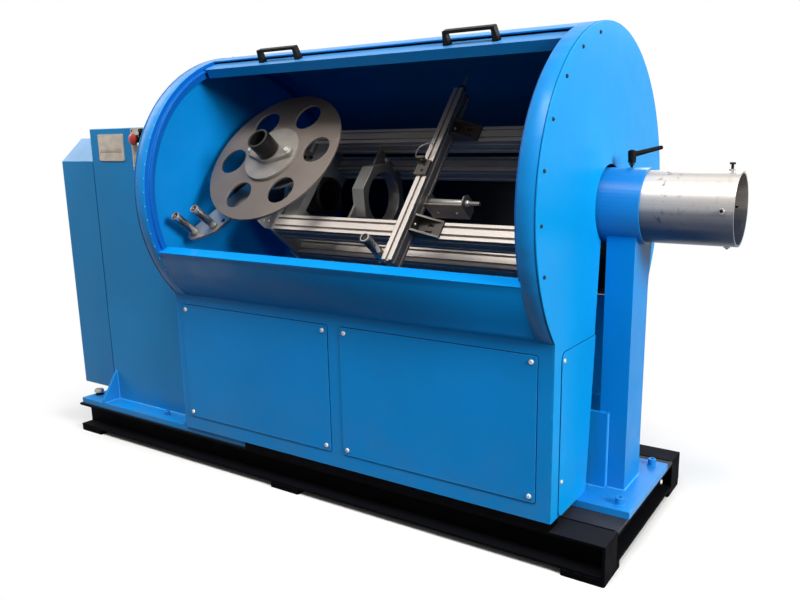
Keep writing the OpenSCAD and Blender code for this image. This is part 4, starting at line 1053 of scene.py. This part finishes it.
def buildBrightBolts(bm):
    ringFace = cageBox("ring_plate")[0].x + ringBolt["off"]
    for side in (-1, 1):
        leg = (armHigh.x + legBolt["off"], side * railSide, railTop + legBolt["lift"])
        hexBolt(bm, inCage(leg, toRight, side), legBolt["across"])
        for sideZ in (-1, 1):
            for back in tipScrew["back"]:
                tip = (railLow.x - railCap["plate"] - back, side * railSide, sideZ * railTop)
                domeScrew(bm, inCage(tip, (0, 0, sideZ), back * 60), tipScrew["radius"])
        for off in (-ringBolt["pitch"], ringBolt["pitch"]):
            hexBolt(bm, inCage((ringFace, side * ringBolt["side"], off), toRight, off * 40), ringBolt["across"])
    block = pinSpot("arm_roller_spin")
    spot = (block.x + blockScrew["right"], block.y + blockScrew["back"], railTop + blockScrew["lift"])
    domeScrew(bm, inCage(spot, upward, blockScrew["turn"]), blockScrew["radius"])


makePiece("brightBolts", "rotor", brightZinc, buildBrightBolts)

# nuts under the roller pins
pinNut = {"plate": 0.010, "across": 0.019, "thick": 0.009, "pin": 0.0058, "end": 0.007}


def buildPinNuts(bm):
    below = carrierTop - pinNut["plate"]
    for roller, under in (("outer", below), ("inner", below), ("arm", railTop + pinNut["plate"])):
        spot = pinSpot(roller + "_roller_spin")
        place = inCage((spot.x, spot.y, under), downward, spot.x)
        hexNut(bm, place, pinNut["across"], pinNut["pin"], pinNut["thick"])
        thread(bm, place, pinNut["pin"], 0.0, pinNut["thick"] + pinNut["end"])


makePiece("pinNuts", "rotor", brightZinc, buildPinNuts)

# tape path: wire loop at the tape eye, sleeve on the arm's end rod, nut and thread on the tape roller's rod
tapeWire = {"radius": 0.0011, "right": -0.002, "back": 0.024,
            "route": ((0, 0, 0.004), (-0.006, 0.002, 0.030), (0.006, 0.022, 0.046), (0.030, 0.046, 0.040),
                      (0.036, 0.050, 0.022), (0.026, 0.022, 0.012), (0.022, 0.004, 0.006))}
rodSleeve = {"length": 0.046, "radius": 0.0095, "bore": 0.0055}
tapeNut = {"fromEnd": 0.046, "turn": 0.2, "across": 0.016, "thick": 0.008, "hole": 0.0058, "lift": 0.0014,
           "washer": (0.011, 0.0015), "rod": 0.0063, "thread": (0.010, 0.030)}
webScrew = {"radius": 0.0045, "along": (0.034, 0.104), "drop": 0.018}
tapeLow, tapeHigh = cageBox("tape_bracket")
rodSpot = pinSpot("tape_roller_spin")


def buildTapeWire(bm):
    foot = Vector((armLow.x + tapeWire["right"], tapeWire["back"], armHigh.z))
    wireAlong(bm, [cage @ (foot + Vector(step)) for step in tapeWire["route"]], tapeWire["radius"])


def buildRodSleeve(bm):
    length, radius, bore = rodSleeve["length"], rodSleeve["radius"], rodSleeve["bore"]
    foot = cageBox("arm_fittings")[1].y - length
    place = inCage(((armLow.x + armHigh.x) / 2, foot, armHigh.z - (armHigh.z - railTop) / 3), toRear)
    turned(bm, [(bore, 0), (radius, 0), (radius, length * 0.30), (radius * 0.86, length * 0.34),
                (radius * 0.86, length - 0.004), (radius * 0.78, length - 0.001), (bore, length - 0.001),
                (bore, 0)], place)


def buildTapeNut(bm):
    place = inCage((tapeHigh.x - tapeNut["fromEnd"], rodSpot.y, rodSpot.z), toRight, tapeNut["turn"])
    washer(bm, place, *tapeNut["washer"])
    hexNut(bm, raised(place, tapeNut["lift"]), tapeNut["across"], tapeNut["hole"], tapeNut["thick"])
    thread(bm, place, tapeNut["rod"], *tapeNut["thread"])
    for along in webScrew["along"]:
        spot = (tapeLow.x + along, tapeLow.y, rodSpot.z - webScrew["drop"])
        domeScrew(bm, inCage(spot, toFront, spot[0]), webScrew["radius"])


makePiece("tapeWire", "rotor", zincSteel, buildTapeWire)
makePiece("rodSleeve", "rotor", brightZinc, buildRodSleeve)
makePiece("tapeNut", "rotor", brightZinc, buildTapeNut)

# guide rollers: a steel mouth round a bush at the free end of each, bronze on the left plate and black on the arm
rollerMouth = {"outside": 0.015, "inside": 0.0118, "rise": 0.005, "bore": 0.0064, "bushRise": 0.0012, "seat": -0.0006}


def mouthPlace(node):
    spot = pinSpot(node + "_spin")
    return inCage((spot.x, spot.y, cageBox(node)[1].z), upward)


def buildMouth(place):
    outside, inside, rise, seat = [rollerMouth[key] for key in ("outside", "inside", "rise", "seat")]
    profile = [(outside, seat), (outside, rise - 0.0008), (outside - 0.0008, rise), (inside + 0.0005, rise),
               (inside, rise - 0.0006), (inside, seat), (outside, seat)]
    return lambda bm: turned(bm, profile, place, 32)


def buildBush(place):
    inside, bore, rise, seat = [rollerMouth[key] for key in ("inside", "bore", "bushRise", "seat")]
    profile = [(bore, seat), (inside, seat), (inside, rise * 2.4), (inside - 0.0012, rise * 2.4),
               (inside - 0.0022, rise), (bore + 0.0004, rise), (bore, rise - 0.0004), (bore, seat)]
    return lambda bm: turned(bm, profile, place, 32)


for node, bush in (("outer_roller", bushBronze), ("inner_roller", bushBronze), ("arm_roller", blackOxide)):
    title = node.split("_")[0]
    makePiece(title + "RollerMouth", node, zincSteel, buildMouth(mouthPlace(node)))
    makePiece(title + "RollerBush", node, bush, buildBush(mouthPlace(node)))
print("rotor dressed")

# reel: bolts on the hub's ears and a turned collar at the spindle's mouth
reelParts = {"earBolt": 0.018, "earReach": 0.086, "collarRise": 0.003, "collarDeep": -0.02, "wall": 0.0085}
hubLow, hubHigh = cageBox("reel_hub")
reelX = (hubLow.x + hubHigh.x) / 2


def buildEarBolts(bm):
    for side in (-1, 1):
        ear = (reelX + side * reelParts["earReach"], 0, hubHigh.z)
        hexBolt(bm, inCage(ear, upward, side), reelParts["earBolt"])


def buildSpindleCollar(bm):
    low, high = cageBox("reel_spindle")
    radius, rise, deep = (high.x - low.x) / 2, reelParts["collarRise"], reelParts["collarDeep"]
    bore = radius - reelParts["wall"]
    turned(bm, [(bore, deep), (bore, rise - 0.001), (bore + 0.001, rise), (radius - 0.001, rise),
                (radius, rise - 0.001), (radius + 0.0006, -0.010), (radius + 0.0006, -0.012),
                (radius - 0.0005, -0.0125), (bore, deep)], inCage((reelX, 0, high.z), upward), 48)


makePiece("earBolts", "reel", brightZinc, buildEarBolts)
makePiece("spindleCollar", "reel", darkSteel, buildSpindleCollar)
print("reel dressed")

# belt guard and drive column: screws on the guard's end and rear, and a dark strip down the column's edge as painted
# shade where the guard steps back
guard = {"inset": 0.016, "ends": 0.030, "slope": 0.110, "screw": 0.006, "shadeLine": 0.003, "proud": 0.0008,
         "shadeLineFoot": 0.02, "shadeLineTop": 0.1}
guardLow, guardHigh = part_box("belt_guard")


def buildGuardScrews(bm):
    foot, top = guardLow.z + guard["ends"], guardHigh.z - guard["slope"]
    for y in (guardLow.y + guard["inset"], guardHigh.y - guard["inset"]):
        for z in (foot, (guardLow.z + top) / 2, top):
            domeScrew(bm, standAt((guardLow.x, y, z), toLeft, z * 7), guard["screw"])
    for x in (guardLow.x + guard["ends"], guardHigh.x - guard["ends"]):
        for z in (foot, top):
            domeScrew(bm, standAt((x, guardHigh.y, z), toRear, z * 5), guard["screw"])


def buildColumnShadeLine(bm):
    place = facePlace((driveLow.x + guard["shadeLine"] * 0.6, driveLow.y, 0))
    path = [(0, driveLow.z + guard["shadeLineFoot"]), (0, guardHigh.z - guard["shadeLineTop"])]
    flatStrip(bm, place, path, guard["shadeLine"], guard["proud"])


makePiece("guardScrews", "machine_frame", zincSteel, buildGuardScrews)
makePiece("columnShadeLine", "machine_frame", jointBlue, buildColumnShadeLine)
print("guard dressed")

# camera at the photograph's viewing angle
camera = {"place": (1.72125, -2.10421, 1.13553), "azimuth": 30.72, "elevation": 11.84, "roll": -0.07,
          "lens": 32.95, "sensor": 36, "shift": (-0.0779, 0.0151), "reach": 200}
eye = bpy.data.cameras.new("photoCamera")
eye.sensor_width = camera["sensor"]
eye.lens = camera["lens"]
eye.shift_x, eye.shift_y = camera["shift"]
eye.clip_end = camera["reach"]
stand = bpy.data.objects.new("photoCamera", eye)
bpy.context.collection.objects.link(stand)
stand.matrix_world = (Matrix.Translation(camera["place"]) @ Matrix.Rotation(math.radians(camera["azimuth"]), 4, "Z")
                      @ Matrix.Rotation(math.radians(90 - camera["elevation"]), 4, "X")
                      @ Matrix.Rotation(math.radians(camera["roll"]), 4, "Z"))
bpy.context.scene.camera = stand

# pale floor that turns white away from the machine, white surroundings and soft lamps
studio = {"floorSize": 60, "floor": (0.88, 0.88, 0.88), "bounce": (0.05, 0.05, 0.05), "floorRough": 0.9,
          "ambient": ((0.0, 0.07), (0.6, 0.28)), "whiteFrom": 0.05, "whiteBy": 0.5}
lamps = {
    "sideLamp": {"place": (6.3, -1.52, 3.1), "target": (0.4, -0.1, 1.0), "size": (2.0, 2.0), "power": 440,
                 "tint": (1, 0.99, 0.97)},
    "frontLamp": {"place": (0.4, -2.9, 6.1), "target": (0.1, -0.2, 0.8), "size": (3.0, 1.8), "power": 300,
                  "tint": (1, 0.98, 0.95)},
    "topLamp": {"place": (-5.4, -0.6, 4.0), "target": (-1.2, -0.25, 1.2), "size": (3.0, 3.0), "power": 90},
    "backLamp": {"place": (1.2, 4.6, 3.4), "target": (0.1, 0.2, 0.8), "size": (3.0, 2.0), "power": 110},
}


def seenDirectly(tree):  # 1 for camera, glossy and transmission rays
    rays = addNode(tree, "LightPath").outputs
    first = mathOf(tree, "MAXIMUM", rays["Is Camera Ray"], rays["Is Glossy Ray"])
    return mathOf(tree, "MAXIMUM", first, rays["Is Transmission Ray"])


def buildFloor():
    mesh = bpy.data.meshes.new("paleFloor")
    half = studio["floorSize"] / 2
    mesh.from_pydata([(-half, -half, 0), (half, -half, 0), (half, half, 0), (-half, half, 0)], [], [(0, 1, 2, 3)])
    finish, tree, shader = newFinish("paleFloor")
    seen = seenDirectly(tree)
    tree.links.new(mixOf(tree, seen, studio["bounce"], studio["floor"]), shader.inputs["Base Color"])
    shader.inputs["Roughness"].default_value = studio["floorRough"]
    shader.inputs["Specular IOR Level"].default_value = 0.0
    footprint = (cadBox[1].x, cadBox[1].y, 0)
    past = vectorOf(tree, "SUBTRACT", vectorOf(tree, "ABSOLUTE", spotOf(tree)), footprint)
    outside = vectorOf(tree, "LENGTH", vectorOf(tree, "MAXIMUM", past))  # distance outside the machine's footprint
    white = mathOf(tree, "MULTIPLY", spanOf(tree, outside, studio["whiteFrom"], studio["whiteBy"]), seen)
    blend = addNode(tree, "MixShader")
    glow = addNode(tree, "Emission").outputs["Emission"]
    feed(tree, blend.inputs, (white, shader.outputs["BSDF"], glow))
    tree.links.new(blend.outputs["Shader"], tree.nodes["Material Output"].inputs["Surface"])
    mesh.materials.append(finish)
    floor = bpy.data.objects.new("paleFloor", mesh)
    bpy.context.collection.objects.link(floor)


def buildSky():
    sky = bpy.data.worlds.new("studioSky")
    sky.use_nodes = True
    bpy.context.scene.world = sky
    tree = sky.node_tree
    ambient = rampOf(tree, axisOf(tree, spotOf(tree, "Generated"), "Z"), studio["ambient"])
    tree.links.new(mixOf(tree, seenDirectly(tree), ambient, (1, 1, 1)), tree.nodes["Background"].inputs["Color"])


def addLamp(name, place, target, size, power, tint=(1, 1, 1)):
    lamp = bpy.data.lights.new(name, "AREA")
    lamp.shape = "RECTANGLE"
    lamp.size, lamp.size_y = size
    lamp.energy = power
    lamp.color = tint
    holder = bpy.data.objects.new(name, lamp)
    bpy.context.collection.objects.link(holder)
    holder.matrix_world = standAt(place, Vector(place) - Vector(target))


buildFloor()
buildSky()
for name, setting in lamps.items():
    addLamp(name, **setting)
bpy.context.scene.view_settings.view_transform = "Standard"
print("camera, floor and lamps placed")
